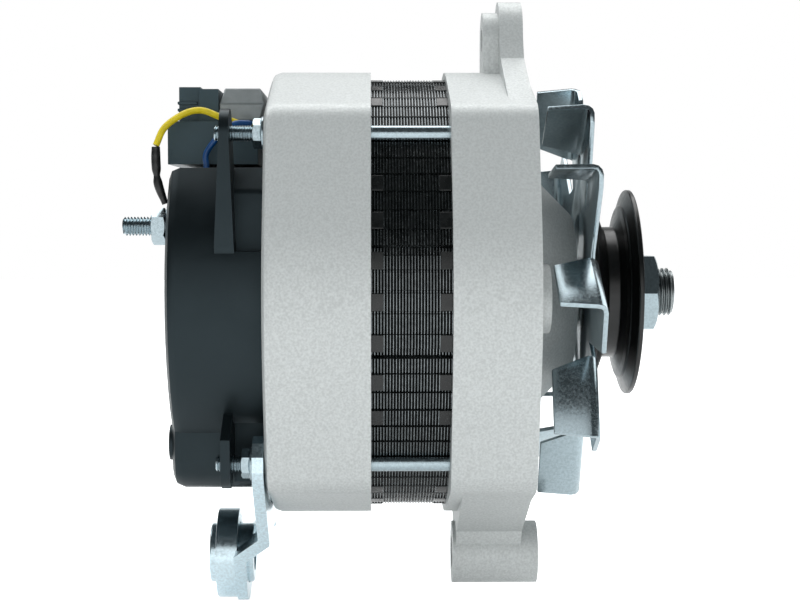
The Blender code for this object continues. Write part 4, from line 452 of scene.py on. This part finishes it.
def make_finishes(colours, sizes):
    """Every finish of the alternator, by the name of its material slot."""
    steel = turned_steel(colours)
    return {
        "cast_aluminium": blasted_aluminium(colours, sizes),
        "zinc_plated_steel": zinc_plate("bright_zinc_plated_steel", colours.zinc),
        # Painted sheen: the strap and its bush take the zinc 1.6 times lighter, for their bright
        # reflections
        "strap_zinc_painted_sheen": zinc_plate("zinc_plated_steel_painted_sheen", shade(colours.zinc, 1.6)),
        "lamination_stack": laminations_painted_highlight(colours),
        "varnish": thick_varnish(colours),
        "black_enamel": stoved_enamel(colours),
        "black_nylon": moulded_nylon("glass_filled_nylon", colours.nylon),
        # Painted light: the regulator's case takes the cover's nylon nine times lighter, for the light on
        # it
        "regulator_nylon_painted_light": moulded_nylon("regulator_nylon_painted_light", shade(colours.nylon, 9.0)),
        "grey_aluminium": cast_heat_sink(colours),
        "bearing_steel": steel,
        "rotor_steel": steel,
        "enamelled_copper": enamelled_wire(),
        "slip_ring_copper": plain_copper(),
        "carbon_brush": pressed_carbon(),
        "diode_case": nickelled_steel(),
        "yellow_insulation": lead_insulation("yellow_pvc", colours.yellow),
        "blue_insulation": lead_insulation("blue_pvc", colours.blue),
        "black_sleeving": shrink_sleeve(),
    }


FINISHES = {}


def finish(name):
    """The finish of a material slot, where all of them are made on first use."""
    if not FINISHES:
        scene = bpy.context.scene
        FINISHES.update(make_finishes(scene.alternator_colours, scene.alternator_sizes))
    return FINISHES[name]


def soft_edge_group():
    """A modifier group that shades smooth between faces that meet at a small angle."""
    group = bpy.data.node_groups.get("smooth_small_angles")
    if group:
        return group
    group = bpy.data.node_groups.new("smooth_small_angles", "GeometryNodeTree")
    for side in ("INPUT", "OUTPUT"):
        group.interface.new_socket("Geometry", in_out=side, socket_type="NodeSocketGeometry")
    start = add_node(group, "NodeGroupInput")
    angle = add_node(group, "GeometryNodeInputMeshEdgeAngle")
    small = add_node(group, "FunctionNodeCompare", {0: angle.outputs[0], 1: math.radians(SMOOTH_ANGLE)},
                     operation="LESS_EQUAL")
    faces = add_node(group, "GeometryNodeSetShadeSmooth", {0: start.outputs[0], 2: True})
    edges = add_node(group, "GeometryNodeSetShadeSmooth", {0: faces.outputs[0], 2: small.outputs[0]},
                     domain="EDGE")
    add_node(group, "NodeGroupOutput", {0: edges.outputs[0]})
    return group


def round_edges(obj, radius, angle=EDGE_ANGLE, segments=2):
    """Real radii on the sharp edges of a piece."""
    bevel = obj.modifiers.new("Edges", "BEVEL")
    bevel.width = radius
    bevel.segments = segments
    bevel.limit_method = "ANGLE"
    bevel.angle_limit = math.radians(angle)


def dress(node, edge=0.0, slot="", flush=True):
    """Give a CAD node its finish, smooth round faces and, where asked, rounded edges.

    Flush faces are shaded flat up to their rounded edges, which the fan's bent sheet isn't.
    """
    obj = NODES[node]
    mesh = obj.data
    mesh.materials[0] = finish(slot or mesh.materials[0].name.split(".")[0])
    if "custom_normal" in mesh.attributes:
        mesh.attributes.remove(mesh.attributes["custom_normal"])
    weld = obj.modifiers.new("Weld", "WELD")
    weld.merge_threshold = WELD_DISTANCE
    if edge:
        flat = obj.modifiers.new("Flats", "DECIMATE")
        flat.decimate_type = "DISSOLVE"
        flat.angle_limit = math.radians(FLAT_ANGLE)
        round_edges(obj, edge)
    shading = obj.modifiers.new("Shading", "NODES")
    shading.node_group = soft_edge_group()
    if edge and flush:
        normals = obj.modifiers.new("Flush", "WEIGHTED_NORMAL")
        normals.keep_sharp = True


def new_piece(name, shape, slot, nodes, body, angle=SMOOTH_ANGLE):
    """Turn a bmesh into a piece that rides on a body, takes a slot's finish and stands for nodes."""
    mesh = bpy.data.meshes.new(name)
    bmesh.ops.recalc_face_normals(shape, faces=shape.faces)
    shape.to_mesh(mesh)
    shape.free()
    mesh.shade_smooth()
    mesh.set_sharp_from_angle(angle=math.radians(angle))
    obj = bpy.data.objects.new(name, mesh)
    bpy.context.scene.collection.objects.link(obj)
    return attach(obj, slot, nodes, body)


def attach(obj, slot, nodes, body):
    """Finish, slot, replaced nodes and body of a piece."""
    if not obj.data.materials:
        obj.data.materials.append(finish(slot))
    if nodes:
        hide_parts(*nodes)
    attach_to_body(obj, body)
    return obj


def ring_of(shape, places):
    """A closed ring of vertices."""
    return [shape.verts.new(place) for place in places]


def bridge(shape, first, second):
    """Faces between two rings of the same count."""
    count = len(first)
    for index in range(count):
        following = (index + 1) % count
        shape.faces.new((first[index], first[following], second[following], second[index]))


def around(station, centre, radius, angle):
    """A point at a station, turned by an angle in radians round an axis along X."""
    return (station, centre[0] + radius * math.cos(angle), centre[1] + radius * math.sin(angle))


def turned(shape, profile, steps=64, centre=(0.0, 0.0), closed=True):
    """A profile of (radius, station) points turned round an axis along X, as a ring or with ends."""
    angles = [math.tau * step / steps for step in range(steps)]
    rings = [ring_of(shape, [around(station, centre, radius, angle) for angle in angles])
             for radius, station in profile]
    pairs = list(zip(rings, rings[1:]))
    if closed:
        pairs.append((rings[-1], rings[0]))
    for first, second in pairs:
        bridge(shape, first, second)
    if not closed:
        shape.faces.new(rings[0][::-1])
        shape.faces.new(rings[-1])


def threaded(shape, thread, front, back, centre=(0.0, 0.0), free_end=-1, steps=36):
    """A V thread along X from front to back, chamfered at its free end and run out at the other."""
    radius, pitch, depth = thread
    root = radius - depth
    form = [(share, radius if height else root) for share, height in THREAD_FORM]
    turns = math.ceil((front - back) / pitch) + 1
    chamfer = depth * THREAD_CHAMFER
    rows = []
    for turn in range(turns):
        for share, reach in form:
            ring = []
            for step in range(steps):
                along = (turn + share + step / steps - 1.0) * pitch
                station = back + along if free_end > 0 else front - along
                to_free = (front - station) if free_end > 0 else (station - back)
                to_fixed = (station - back) if free_end > 0 else (front - station)
                here = min(reach, radius - chamfer + max(-pitch, to_free))
                here = max(here, min(radius, root - to_fixed)) if to_fixed < 0 else here
                station = min(front, max(back, station))
                ring.append(shape.verts.new(around(station, centre, here, math.tau * step / steps)))
            rows.append(ring)
    count = len(form)
    for index in range(len(rows) - 1):
        low, high = rows[index], rows[index + 1]
        for step in range(steps):
            if step + 1 < steps:
                near, far = low[step + 1], high[step + 1]
            elif index + 1 + count < len(rows):
                near, far = rows[index + count][0], rows[index + 1 + count][0]
            else:
                continue
            shape.faces.new((low[step], near, far, high[step]))
    open_edges = [edge for edge in shape.edges if edge.is_boundary]
    bmesh.ops.holes_fill(shape, edges=open_edges, sides=0)
    bmesh.ops.dissolve_degenerate(shape, dist=0.000001, edges=shape.edges)


def hex_nut(shape, flats, front, back, bore, centre=(0.0, 0.0), turn=0.0, chamfers=(True, True)):
    """A hexagon nut with its corners chamfered the way a nut's are, and a countersunk bore."""
    half = flats / 2
    cone = half * NUT_CONE_SHARE
    mouth = bore + NUT_SINK_WIDTH
    rings = [[] for _ in range(8)]
    for step in range(NUT_STEPS):
        angle = math.tau * step / NUT_STEPS
        local = (math.degrees(angle) - turn) % 60.0 - 30.0
        corner = half / math.cos(math.radians(local))
        drop = (corner - cone) * math.tan(math.radians(NUT_CHAMFER_ANGLE))
        ends = [drop if chamfer else 0.0 for chamfer in chamfers]
        insides = [cone if chamfer else corner * NUT_PLAIN_SHARE for chamfer in chamfers]
        section = [
            (bore, front - NUT_SINK_DEPTH), (mouth, front), (insides[0], front), (corner, front - ends[0]),
            (corner, back + ends[1]), (insides[1], back), (mouth, back), (bore, back + NUT_SINK_DEPTH)]
        for ring, (radius, station) in zip(rings, section):
            ring.append(around(station, centre, radius, angle))
    made = [ring_of(shape, places) for places in rings]
    for first, second in zip(made, made[1:] + made[:1]):
        bridge(shape, first, second)


def polar(radius, angle):
    """A point at a radius and an angle in degrees."""
    return (radius * math.cos(math.radians(angle)), radius * math.sin(math.radians(angle)))


def arc(radius, start, stop, steps, centre=(0.0, 0.0)):
    """Points on an arc, from start to stop in degrees."""
    return [(centre[0] + polar(radius, start + (stop - start) * step / steps)[0],
             centre[1] + polar(radius, start + (stop - start) * step / steps)[1])
            for step in range(steps + 1)]


def smooth_route(anchors, spacing=0.0006):
    """Points at about even spacing on a Catmull-Rom curve through the anchors."""
    places = [Vector(anchor) for anchor in anchors]
    places = [places[0] * 2 - places[1]] + places + [places[-1] * 2 - places[-2]]
    route = [places[1]]
    for before, start, stop, after in zip(places, places[1:], places[2:], places[3:]):
        count = max(1, round((stop - start).length / spacing))
        for step in range(1, count + 1):
            t = step / count
            route.append(0.5 * (2 * start + (stop - before) * t
                                + (2 * before - 5 * start + 4 * stop - after) * t * t
                                + (3 * start - before - 3 * stop + after) * t ** 3))
    return route


def lead(name, anchors, radius, slot, node, pinches=()):
    """A round lead as a curve through its anchors, narrower at the pinches; gives it and its length."""
    route = smooth_route(anchors)
    line = bpy.data.curves.new(name, "CURVE")
    line.dimensions = "3D"
    line.bevel_depth = radius
    line.bevel_resolution = 6
    line.use_fill_caps = True
    spline = line.splines.new("POLY")
    spline.points.add(len(route) - 1)
    for point, place in zip(spline.points, route):
        point.co = (*place, 1.0)
        along = (route[0] - place).length / (route[0] - route[-1]).length
        point.radius = 1.0 - sum(depth * math.exp(-((along - middle) / spread) ** 2)
                                 for middle, spread, depth in pinches)
    spline.use_smooth = True
    obj = bpy.data.objects.new(name, line)
    bpy.context.scene.collection.objects.link(obj)
    attach(obj, slot, [node], BODY_OF[node])
    return obj, sum((after - before).length for before, after in zip(route, route[1:]))


class ALTERNATOR_OT_castings(bpy.types.Operator):
    """Dress the two cast housings"""

    bl_idname = "alternator.castings"
    bl_label = "Castings"

    def execute(self, context):
        """Blasted aluminium on the housings, with rounded edges."""
        edge = context.scene.alternator_sizes.casting_edge
        for node in ("front_housing", "rear_housing"):
            dress(node, edge)
        return {"FINISHED"}


class ALTERNATOR_OT_stator(bpy.types.Operator):
    """Build the stack of laminations and dress the winding"""

    bl_idname = "alternator.stator"
    bl_label = "Stator"

    def execute(self, context):
        """Every lamination is a ring of its own, between smooth blocks on every second tooth."""
        sizes = context.scene.alternator_sizes
        low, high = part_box("stator_core")
        outline = self.sheet_outline()
        shape = bmesh.new()
        groove = sizes.lamination_groove
        count = round((high.x - low.x) / sizes.lamination)
        sheet = (high.x - low.x) / count
        dice = random.Random(7)
        rings = []
        for index in range(count):
            back = low.x + sheet * index
            proud = dice.uniform(-SHEET_SCATTER, SHEET_SCATTER)
            for share, drop in SHEET_FORM:
                scale = 1.0 - (groove * drop - proud) / STACK_RADIUS
                station = back + share * sheet
                rings.append(ring_of(shape, [(station, y * scale, z * scale) for y, z in outline]))
        scale = 1.0 - groove / STACK_RADIUS
        rings.append(ring_of(shape, [(high.x, y * scale, z * scale) for y, z in outline]))
        for first, second in zip(rings, rings[1:]):
            bridge(shape, first, second)
        for ring, station in ((rings[0], low.x), (rings[-1], high.x)):
            inner = ring_of(shape, [(station, *(vert.co.yz.normalized() * STACK_BORE)) for vert in ring])
            bridge(shape, ring, inner)
            ring[:] = inner
        bridge(shape, rings[0], rings[-1])
        stack = new_piece("lamination_stack", shape, "lamination_stack", ["stator_core"],
                          BODY_OF["stator_core"])
        # Each crest takes bright metal as painted highlight; the flanks between the sheets take the varnish
        stack.data.materials.append(finish("varnish"))
        for face in stack.data.polygons:
            row = face.index // len(outline) % len(SHEET_FORM)
            face.material_index = 0 if row == SHEET_CREST else 1
        self.end_blocks(low.x, high.x, sizes)
        dress("stator_winding")
        return {"FINISHED"}

    def sheet_outline(self):
        """Edge of one sheet: thin grooves beside every block, wide flutes, and the bolt notches."""
        features = []
        for index in range(STACK_TEETH):
            for side in (-1, 1):
                place = (index + side / 4) * STACK_PITCH
                if abs(place % 90.0 - 45.0) < STACK_PITCH / 2:
                    continue
                wide = abs(abs((place + 45.0) % 90.0 - 45.0) - 1.25 * STACK_PITCH) < 1.0
                features.append((place, *(WIDE_FLUTE if wide else THIN_GROOVE)))
        features += [(45.0 + 90.0 * quarter, None, None) for quarter in range(4)]
        features.sort()
        circle = BOLT_OFFSET * math.sqrt(2)
        turn = math.degrees(math.acos((circle - STACK_RADIUS) / BOLT_NOTCH))
        reach = math.degrees(BOLT_NOTCH * math.sin(math.radians(turn)) / STACK_RADIUS)
        outline = []
        for index, (place, half, depth) in enumerate(features):
            after, wide_after, _ = features[(index + 1) % len(features)]
            if depth is None:
                inward = place + 180.0
                outline += arc(BOLT_NOTCH, inward + turn, inward - turn, 8, polar(circle, place))
            else:
                bottom, narrow = STACK_RADIUS - depth, half * GROOVE_FLOOR_SHARE
                outline += [polar(STACK_RADIUS, place - half), polar(bottom, place - narrow),
                            polar(bottom, place + narrow), polar(STACK_RADIUS, place + half)]
            leave = place + (half or reach)
            meet = after - (wide_after or reach) + (360.0 if after < place else 0.0)
            outline += arc(STACK_RADIUS, leave, meet, 3)[1:-1]
        return outline

    def end_blocks(self, rear, front, sizes):
        """Smooth varnished blocks at both ends of every tooth, where the stack's sheets are joined."""
        shape = bmesh.new()
        deep = STACK_HIDDEN + sizes.end_block
        spread = STACK_PITCH / 4 - THIN_GROOVE[0]
        for index in range(STACK_TEETH):
            middle = STACK_PITCH * index
            if abs(middle % 90.0 - 45.0) < STACK_PITCH:
                continue
            for start, stop in ((rear, rear + deep), (front - deep, front)):
                places = arc(STACK_RADIUS + BLOCK_PROUD, middle - spread, middle + spread, 6)
                places += arc(STACK_RADIUS - BLOCK_DEPTH, middle + spread, middle - spread, 6)
                first = ring_of(shape, [(start, *place) for place in places])
                second = ring_of(shape, [(stop, *place) for place in places])
                bridge(shape, first, second)
                shape.faces.new(first[::-1])
                shape.faces.new(second)
        blocks = new_piece("stack_end_blocks", shape, "lamination_stack", [], BODY_OF["stator_core"])
        blocks.data.materials[0] = finish("varnish")
        round_edges(blocks, FINE_EDGE)


class ALTERNATOR_OT_bolts(bpy.types.Operator):
    """Build the long through bolts and their nuts"""

    bl_idname = "alternator.bolts"
    bl_label = "Through bolts"

    def execute(self, context):
        """Zinc-plated rods with rolled threads behind, and flanged nuts."""
        for number in range(1, 5):
            bolt, nut = f"through_bolt_{number}", f"through_bolt_nut_{number}"
            low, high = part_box(bolt)
            nut_low, nut_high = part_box(nut)
            centre = ((nut_low.y + nut_high.y) / 2, (nut_low.z + nut_high.z) / 2)
            radius = BOLT_THREAD[0]
            thread_start = nut_high.x + BOLT_THREAD_ON
            shape = bmesh.new()
            threaded(shape, BOLT_THREAD, thread_start, low.x, centre)
            neck = high.x - BOLT_HEAD
            turned(shape, [(radius, thread_start - RUN_OUT), (radius, neck)], 32, centre, False)
            hex_nut(shape, BOLT_FLATS, high.x, neck, BOLT_HEAD_DIMPLE, centre)
            new_piece(f"long_bolt_{number}", shape, "zinc_plated_steel", [bolt], BODY_OF[bolt])
            shape = bmesh.new()
            flange = nut_high.x
            hex_nut(shape, BOLT_FLATS, flange - FLANGE_EDGE, nut_low.x, radius - NUT_UNDERSIZE, centre,
                    NUT_TURN, (False, True))
            turned(shape, [(radius, flange), (FLANGE_RADIUS, flange), (FLANGE_RADIUS, flange - FLANGE_EDGE),
                           (FLANGE_TOP_RADIUS, flange - FLANGE_HEIGHT), (radius, flange - FLANGE_HEIGHT)],
                   40, centre)
            new_piece(f"flanged_nut_{number}", shape, "zinc_plated_steel", [nut], BODY_OF[nut])
        return {"FINISHED"}


class ALTERNATOR_OT_rear_cover(bpy.types.Operator):
    """Dress the moulded rear cover and the regulator"""

    bl_idname = "alternator.rear_cover"
    bl_label = "Rear cover and regulator"

    def execute(self, context):
        """Satin nylon with rounded edges, painted lighter on the regulator's case, and the cast heat sink.
        """
        edge = context.scene.alternator_sizes.moulding_edge
        dress("rear_cover", edge)
        dress("regulator_case", edge, "regulator_nylon_painted_light")
        self.heat_sink(edge)
        return {"FINISHED"}

    def heat_sink(self, edge):
        """Cast block on the regulator: both long sides slope in above half its height."""
        low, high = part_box("regulator_heat_sink")
        shape = bmesh.new()
        rings = []
        for side_in, height, rear_in, front_in in (
                (0.0, low.z, 0.0, SINK_NOSE), (0.0, high.z - SINK_BROW, 0.0, 0.0),
                (SINK_SLOPE, high.z, SINK_NOSE, SINK_NOSE)):
            rear, front = low.x + rear_in, high.x - front_in
            near, far = low.y + side_in, high.y - side_in
            corners = ((rear, near), (front, near), (front, far), (rear, far))
            rings.append(ring_of(shape, [(*corner, height) for corner in corners]))
        for first, second in zip(rings, rings[1:]):
            bridge(shape, first, second)
        shape.faces.new(rings[0][::-1])
        shape.faces.new(rings[-1])
        sink = new_piece("cast_heat_sink", shape, "grey_aluminium", ["regulator_heat_sink"],
                         BODY_OF["regulator_heat_sink"])
        round_edges(sink, edge)


class ALTERNATOR_OT_output_stud(bpy.types.Operator):
    """Build the output stud and its nut, and dress the ring terminal"""

    bl_idname = "alternator.output_stud"
    bl_label = "Output stud"

    def execute(self, context):
        """A six millimetre stud with its thread, and a chamfered nut."""
        low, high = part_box("output_stud")
        nut_low, nut_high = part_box("output_nut")
        centre = ((nut_low.y + nut_high.y) / 2, (nut_low.z + nut_high.z) / 2)
        radius = STUD_THREAD[0]
        thread_start = nut_high.x + STUD_THREAD_ON
        shape = bmesh.new()
        threaded(shape, STUD_THREAD, thread_start, low.x, centre)
        turned(shape, [(radius, thread_start - RUN_OUT), (radius, high.x)], 36, centre, False)
        new_piece("threaded_output_stud", shape, "zinc_plated_steel", ["output_stud"],
                  BODY_OF["output_stud"])
        shape = bmesh.new()
        hex_nut(shape, STUD_FLATS, nut_high.x, nut_low.x, radius - NUT_UNDERSIZE, centre, NUT_TURN)
        new_piece("output_hex_nut", shape, "zinc_plated_steel", ["output_nut"], BODY_OF["output_nut"])
        dress("ring_terminal", FINE_EDGE)
        return {"FINISHED"}


class ALTERNATOR_OT_leads(bpy.types.Operator):
    """Build the two leads of the regulator and the sleeve"""

    bl_idname = "alternator.leads"
    bl_label = "Leads"

    def execute(self, context):
        """Round leads on smooth routes, and the sleeve over the ring terminal's barrel."""
        yellow, length = lead("yellow_regulator_lead", YELLOW_ROUTE, YELLOW_RADIUS, "yellow_insulation",
                              "yellow_lead")
        sleeve, _ = lead("shrink_sleeve", SLEEVE_ROUTE, SLEEVE_RADIUS, "black_sleeving", "lead_sleeve",
                         SLEEVE_PINCHES)
        lead("blue_regulator_lead", BLUE_ROUTE, BLUE_RADIUS, "blue_insulation", "blue_lead")
        return {"FINISHED"}


class ALTERNATOR_OT_strap(bpy.types.Operator):
    """Dress the rear strap and its sliding bush"""

    bl_idname = "alternator.strap"
    bl_label = "Rear strap"

    def execute(self, context):
        """Zinc-plated strap with sheared edges, turned bush, both in zinc painted lighter as sheen."""
        dress("rear_strap", context.scene.alternator_sizes.sheet_edge, "strap_zinc_painted_sheen")
        dress("sliding_bush", FINE_EDGE, "strap_zinc_painted_sheen")
        return {"FINISHED"}


class ALTERNATOR_OT_fan(bpy.types.Operator):
    """Dress the pressed cooling fan"""

    bl_idname = "alternator.fan"
    bl_label = "Cooling fan"

    def execute(self, context):
        """Zinc-plated sheet with rounded sheared edges."""
        dress("cooling_fan", context.scene.alternator_sizes.sheet_edge, flush=False)
        return {"FINISHED"}


class ALTERNATOR_OT_drive_end(bpy.types.Operator):
    """Build the pulley, its nut and the shaft, and dress the washer and the spacer"""

    bl_idname = "alternator.drive_end"
    bl_label = "Drive end"

    def execute(self, context):
        """Enamelled pulley with a V groove, spring washer, nut and the shaft's thread."""
        low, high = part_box("drive_pulley")
        radius = high.z
        back, front = low.x, high.x
        middle = (front + back) / 2 + GROOVE_SHIFT
        dish = [(reach, PULLEY_FACE - depth) for reach, depth in PULLEY_DISH]
        shape = bmesh.new()
        turned(shape, [
            (PULLEY_BORE, PULLEY_FACE), *dish, (radius - PULLEY_RIM_EDGE, front), (radius, front),
            (radius, front - GROOVE_LAND), (GROOVE_ROOT, middle + GROOVE_HALF_WIDTH),
            (GROOVE_ROOT, middle - GROOVE_HALF_WIDTH), (radius, back + GROOVE_LAND), (radius, back),
            (PULLEY_BORE, back),
        ], 128)
        pulley = new_piece("turned_pulley", shape, "black_enamel", ["drive_pulley"],
                           BODY_OF["drive_pulley"], 20.0)
        round_edges(pulley, PULLEY_EDGE, 15.0, 3)
        nut_low, nut_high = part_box("pulley_nut")
        shape = bmesh.new()
        hex_nut(shape, PULLEY_NUT_FLATS, nut_high.x, nut_low.x, SHAFT_THREAD[0] - 2 * NUT_UNDERSIZE)
        new_piece("pulley_hex_nut", shape, "zinc_plated_steel", ["pulley_nut"], BODY_OF["pulley_nut"])
        dress("pulley_washer", FINE_EDGE)
        dress("fan_spacer")
        self.shaft(nut_low.x)
        return {"FINISHED"}

    def shaft(self, washer_face):
        """The thread at the front of the shaft, and the plain journals behind it."""
        low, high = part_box("rotor_shaft")
        shape = bmesh.new()
        threaded(shape, SHAFT_THREAD, high.x, washer_face - SHAFT_THREAD_IN, free_end=1, steps=64)
        turned(shape, [(SHAFT_JOURNALS[0][0], washer_face), *SHAFT_JOURNALS,
                       (SHAFT_JOURNALS[-1][0], low.x)], 48, closed=False)
        new_piece("threaded_shaft", shape, "rotor_steel", ["rotor_shaft"], BODY_OF["rotor_shaft"])


class ALTERNATOR_OT_inside(bpy.types.Operator):
    """Dress the pieces inside: rotor, bearings, brushes and rectifier"""

    bl_idname = "alternator.inside"
    bl_label = "Inside"

    def execute(self, context):
        """Every CAD node that isn't dressed yet gets its finish."""
        for node, obj in NODES.items():
            if not obj.hide_render and not obj.modifiers:
                dress(node)
        return {"FINISHED"}


class ALTERNATOR_OT_stage(bpy.types.Operator):
    """Set up the floor, the lamps and the camera"""

    bl_idname = "alternator.stage"
    bl_label = "Stage"

    def execute(self, context):
        """White floor and background, soft studio light, camera at the photograph's angle."""
        scene = context.scene
        scene.view_settings.view_transform = "Standard"
        self.floor(scene)
        self.world(scene)
        self.lamps(scene)
        self.camera(scene)
        return {"FINISHED"}

    def floor(self, scene):
        """A large pale floor under the lowest point of the object, white to the camera."""
        mesh = bpy.data.meshes.new("floor")
        shape = bmesh.new()
        bmesh.ops.create_grid(shape, x_segments=1, y_segments=1, size=FLOOR_SIZE)
        shape.to_mesh(mesh)
        shape.free()
        floor = bpy.data.objects.new("floor", mesh)
        floor.location.z = CAD_BOX[0].z - FLOOR_GAP
        scene.collection.objects.link(floor)
        material = bpy.data.materials.new("white_floor")
        material.use_nodes = True
        tree = material.node_tree
        tree.nodes.clear()
        matt = add_node(tree, "ShaderNodeBsdfDiffuse", {"Color": scene.alternator_colours.floor})
        glow = add_node(tree, "ShaderNodeEmission", {"Color": linear("#ffffff"), "Strength": FLOOR_GLOW})
        sheen = add_node(tree, "ShaderNodeEmission", {"Color": linear("#ffffff"), "Strength": FLOOR_SHEEN})
        light = add_node(tree, "ShaderNodeLightPath")
        both = add_node(tree, "ShaderNodeAddShader", {0: matt.outputs[0], 1: glow.outputs[0]})
        lit = add_node(tree, "ShaderNodeAddShader", {0: matt.outputs[0], 1: sheen.outputs[0]})
        seen = add_node(tree, "ShaderNodeMixShader", {0: light.outputs["Is Glossy Ray"],
                                                      1: matt.outputs[0], 2: lit.outputs[0]})
        mix = add_node(tree, "ShaderNodeMixShader", {0: light.outputs["Is Camera Ray"], 1: seen.outputs[0],
                                                     2: both.outputs[0]})
        add_node(tree, "ShaderNodeOutputMaterial", {"Surface": mix.outputs[0]})
        mesh.materials.append(material)

    def world(self, scene):
        """White to the camera, pale as light, and dim in reflections save for a backdrop behind."""
        world = bpy.data.worlds.new("studio")
        scene.world = world
        world.use_nodes = True
        tree = world.node_tree
        tree.nodes.clear()
        light = add_node(tree, "ShaderNodeLightPath")
        white = add_node(tree, "ShaderNodeBackground", {"Color": linear("#ffffff"), "Strength": 1.0})
        fill = add_node(tree, "ShaderNodeBackground", {"Color": linear("#f2f8fa"), "Strength": FILL_LEVEL})
        dim = add_node(tree, "ShaderNodeBackground", {"Color": linear("#dfeaee"), "Strength": DIM_LEVEL})
        backdrop = add_node(tree, "ShaderNodeBackground", {"Color": linear("#f6fafa"),
                                                           "Strength": BACKDROP_LEVEL})
        place = add_node(tree, "ShaderNodeTexCoord")
        parts = add_node(tree, "ShaderNodeSeparateXYZ", {"Vector": place.outputs["Generated"]})
        behind = add_node(tree, "ShaderNodeMapRange", {"Value": parts.outputs["Y"],
                                                       "From Min": BACKDROP_SIDE[0],
                                                       "From Max": BACKDROP_SIDE[1]})
        below_top = add_node(tree, "ShaderNodeMapRange", {"Value": parts.outputs["Z"],
                                                          "From Min": BACKDROP_TOP[0],
                                                          "From Max": BACKDROP_TOP[1]})
        seen = add_node(tree, "ShaderNodeMath", {0: behind.outputs[0], 1: below_top.outputs[0]},
                        operation="MULTIPLY")
        mirrored = add_node(tree, "ShaderNodeMixShader", {0: seen.outputs[0], 1: dim.outputs[0],
                                                          2: backdrop.outputs[0]})
        level = add_node(tree, "ShaderNodeMixShader", {0: light.outputs["Is Glossy Ray"],
                                                       1: fill.outputs[0], 2: mirrored.outputs[0]})
        mix = add_node(tree, "ShaderNodeMixShader", {0: light.outputs["Is Camera Ray"], 1: level.outputs[0],
                                                     2: white.outputs[0]})
        add_node(tree, "ShaderNodeOutputWorld", {"Surface": mix.outputs[0]})

    def lamps(self, scene):
        """A soft key overhead, a softbox at the camera's height, and a rim from behind the pulley."""
        middle = Vector(LAMP_TARGET)
        for name, place, size, power in LAMPS:
            lamp = bpy.data.lights.new(name, "AREA")
            lamp.shape = "RECTANGLE"
            lamp.size, lamp.size_y = size
            lamp.energy = power
            obj = bpy.data.objects.new(name, lamp)
            obj.location = place
            obj.rotation_euler = (middle - Vector(place)).to_track_quat("-Z", "Y").to_euler()
            scene.collection.objects.link(obj)

    def camera(self, scene):
        """The photograph's view: from the side, half a metre away, a little above the shaft."""
        camera = bpy.data.cameras.new("camera")
        camera.lens = CAMERA_LENS
        camera.sensor_width = CAMERA_SENSOR
        obj = bpy.data.objects.new("camera", camera)
        obj.location = CAMERA_PLACE
        obj.rotation_euler = Vector(CAMERA_AIM).to_track_quat("-Z", "Y").to_euler()
        scene.collection.objects.link(obj)
        scene.camera = obj


STEPS = (
    ALTERNATOR_OT_castings, ALTERNATOR_OT_stator, ALTERNATOR_OT_bolts, ALTERNATOR_OT_rear_cover,
    ALTERNATOR_OT_output_stud, ALTERNATOR_OT_leads, ALTERNATOR_OT_strap, ALTERNATOR_OT_fan,
    ALTERNATOR_OT_drive_end, ALTERNATOR_OT_inside, ALTERNATOR_OT_stage,
)


class ALTERNATOR_PT_panel(bpy.types.Panel):
    """Steps, colours and sizes of the alternator"""

    bl_idname = "ALTERNATOR_PT_panel"
    bl_label = "Alternator"
    bl_space_type = "VIEW_3D"
    bl_region_type = "UI"
    bl_category = "Alternator"

    def draw(self, context):
        """List the steps, then the colours and sizes."""
        for step in STEPS:
            self.layout.operator(step.bl_idname)
        for group in (context.scene.alternator_colours, context.scene.alternator_sizes):
            box = self.layout.box()
            for name in group.__annotations__:
                box.prop(group, name)


CLASSES = (AlternatorColours, AlternatorSizes, *STEPS, ALTERNATOR_PT_panel)


def register():
    """Add the steps, the panel and the settings."""
    for item in CLASSES:
        bpy.utils.register_class(item)
    bpy.types.Scene.alternator_colours = bpy.props.PointerProperty(type=AlternatorColours)
    bpy.types.Scene.alternator_sizes = bpy.props.PointerProperty(type=AlternatorSizes)


def unregister():
    """Take the steps, the panel and the settings away."""
    del bpy.types.Scene.alternator_sizes
    del bpy.types.Scene.alternator_colours
    for item in reversed(CLASSES):
        bpy.utils.unregister_class(item)


def main():
    """Run every step in order."""
    register()
    for step in STEPS:
        group, name = step.bl_idname.split(".")
        getattr(getattr(bpy.ops, group), name)()


if __name__ == "__main__":
    main()
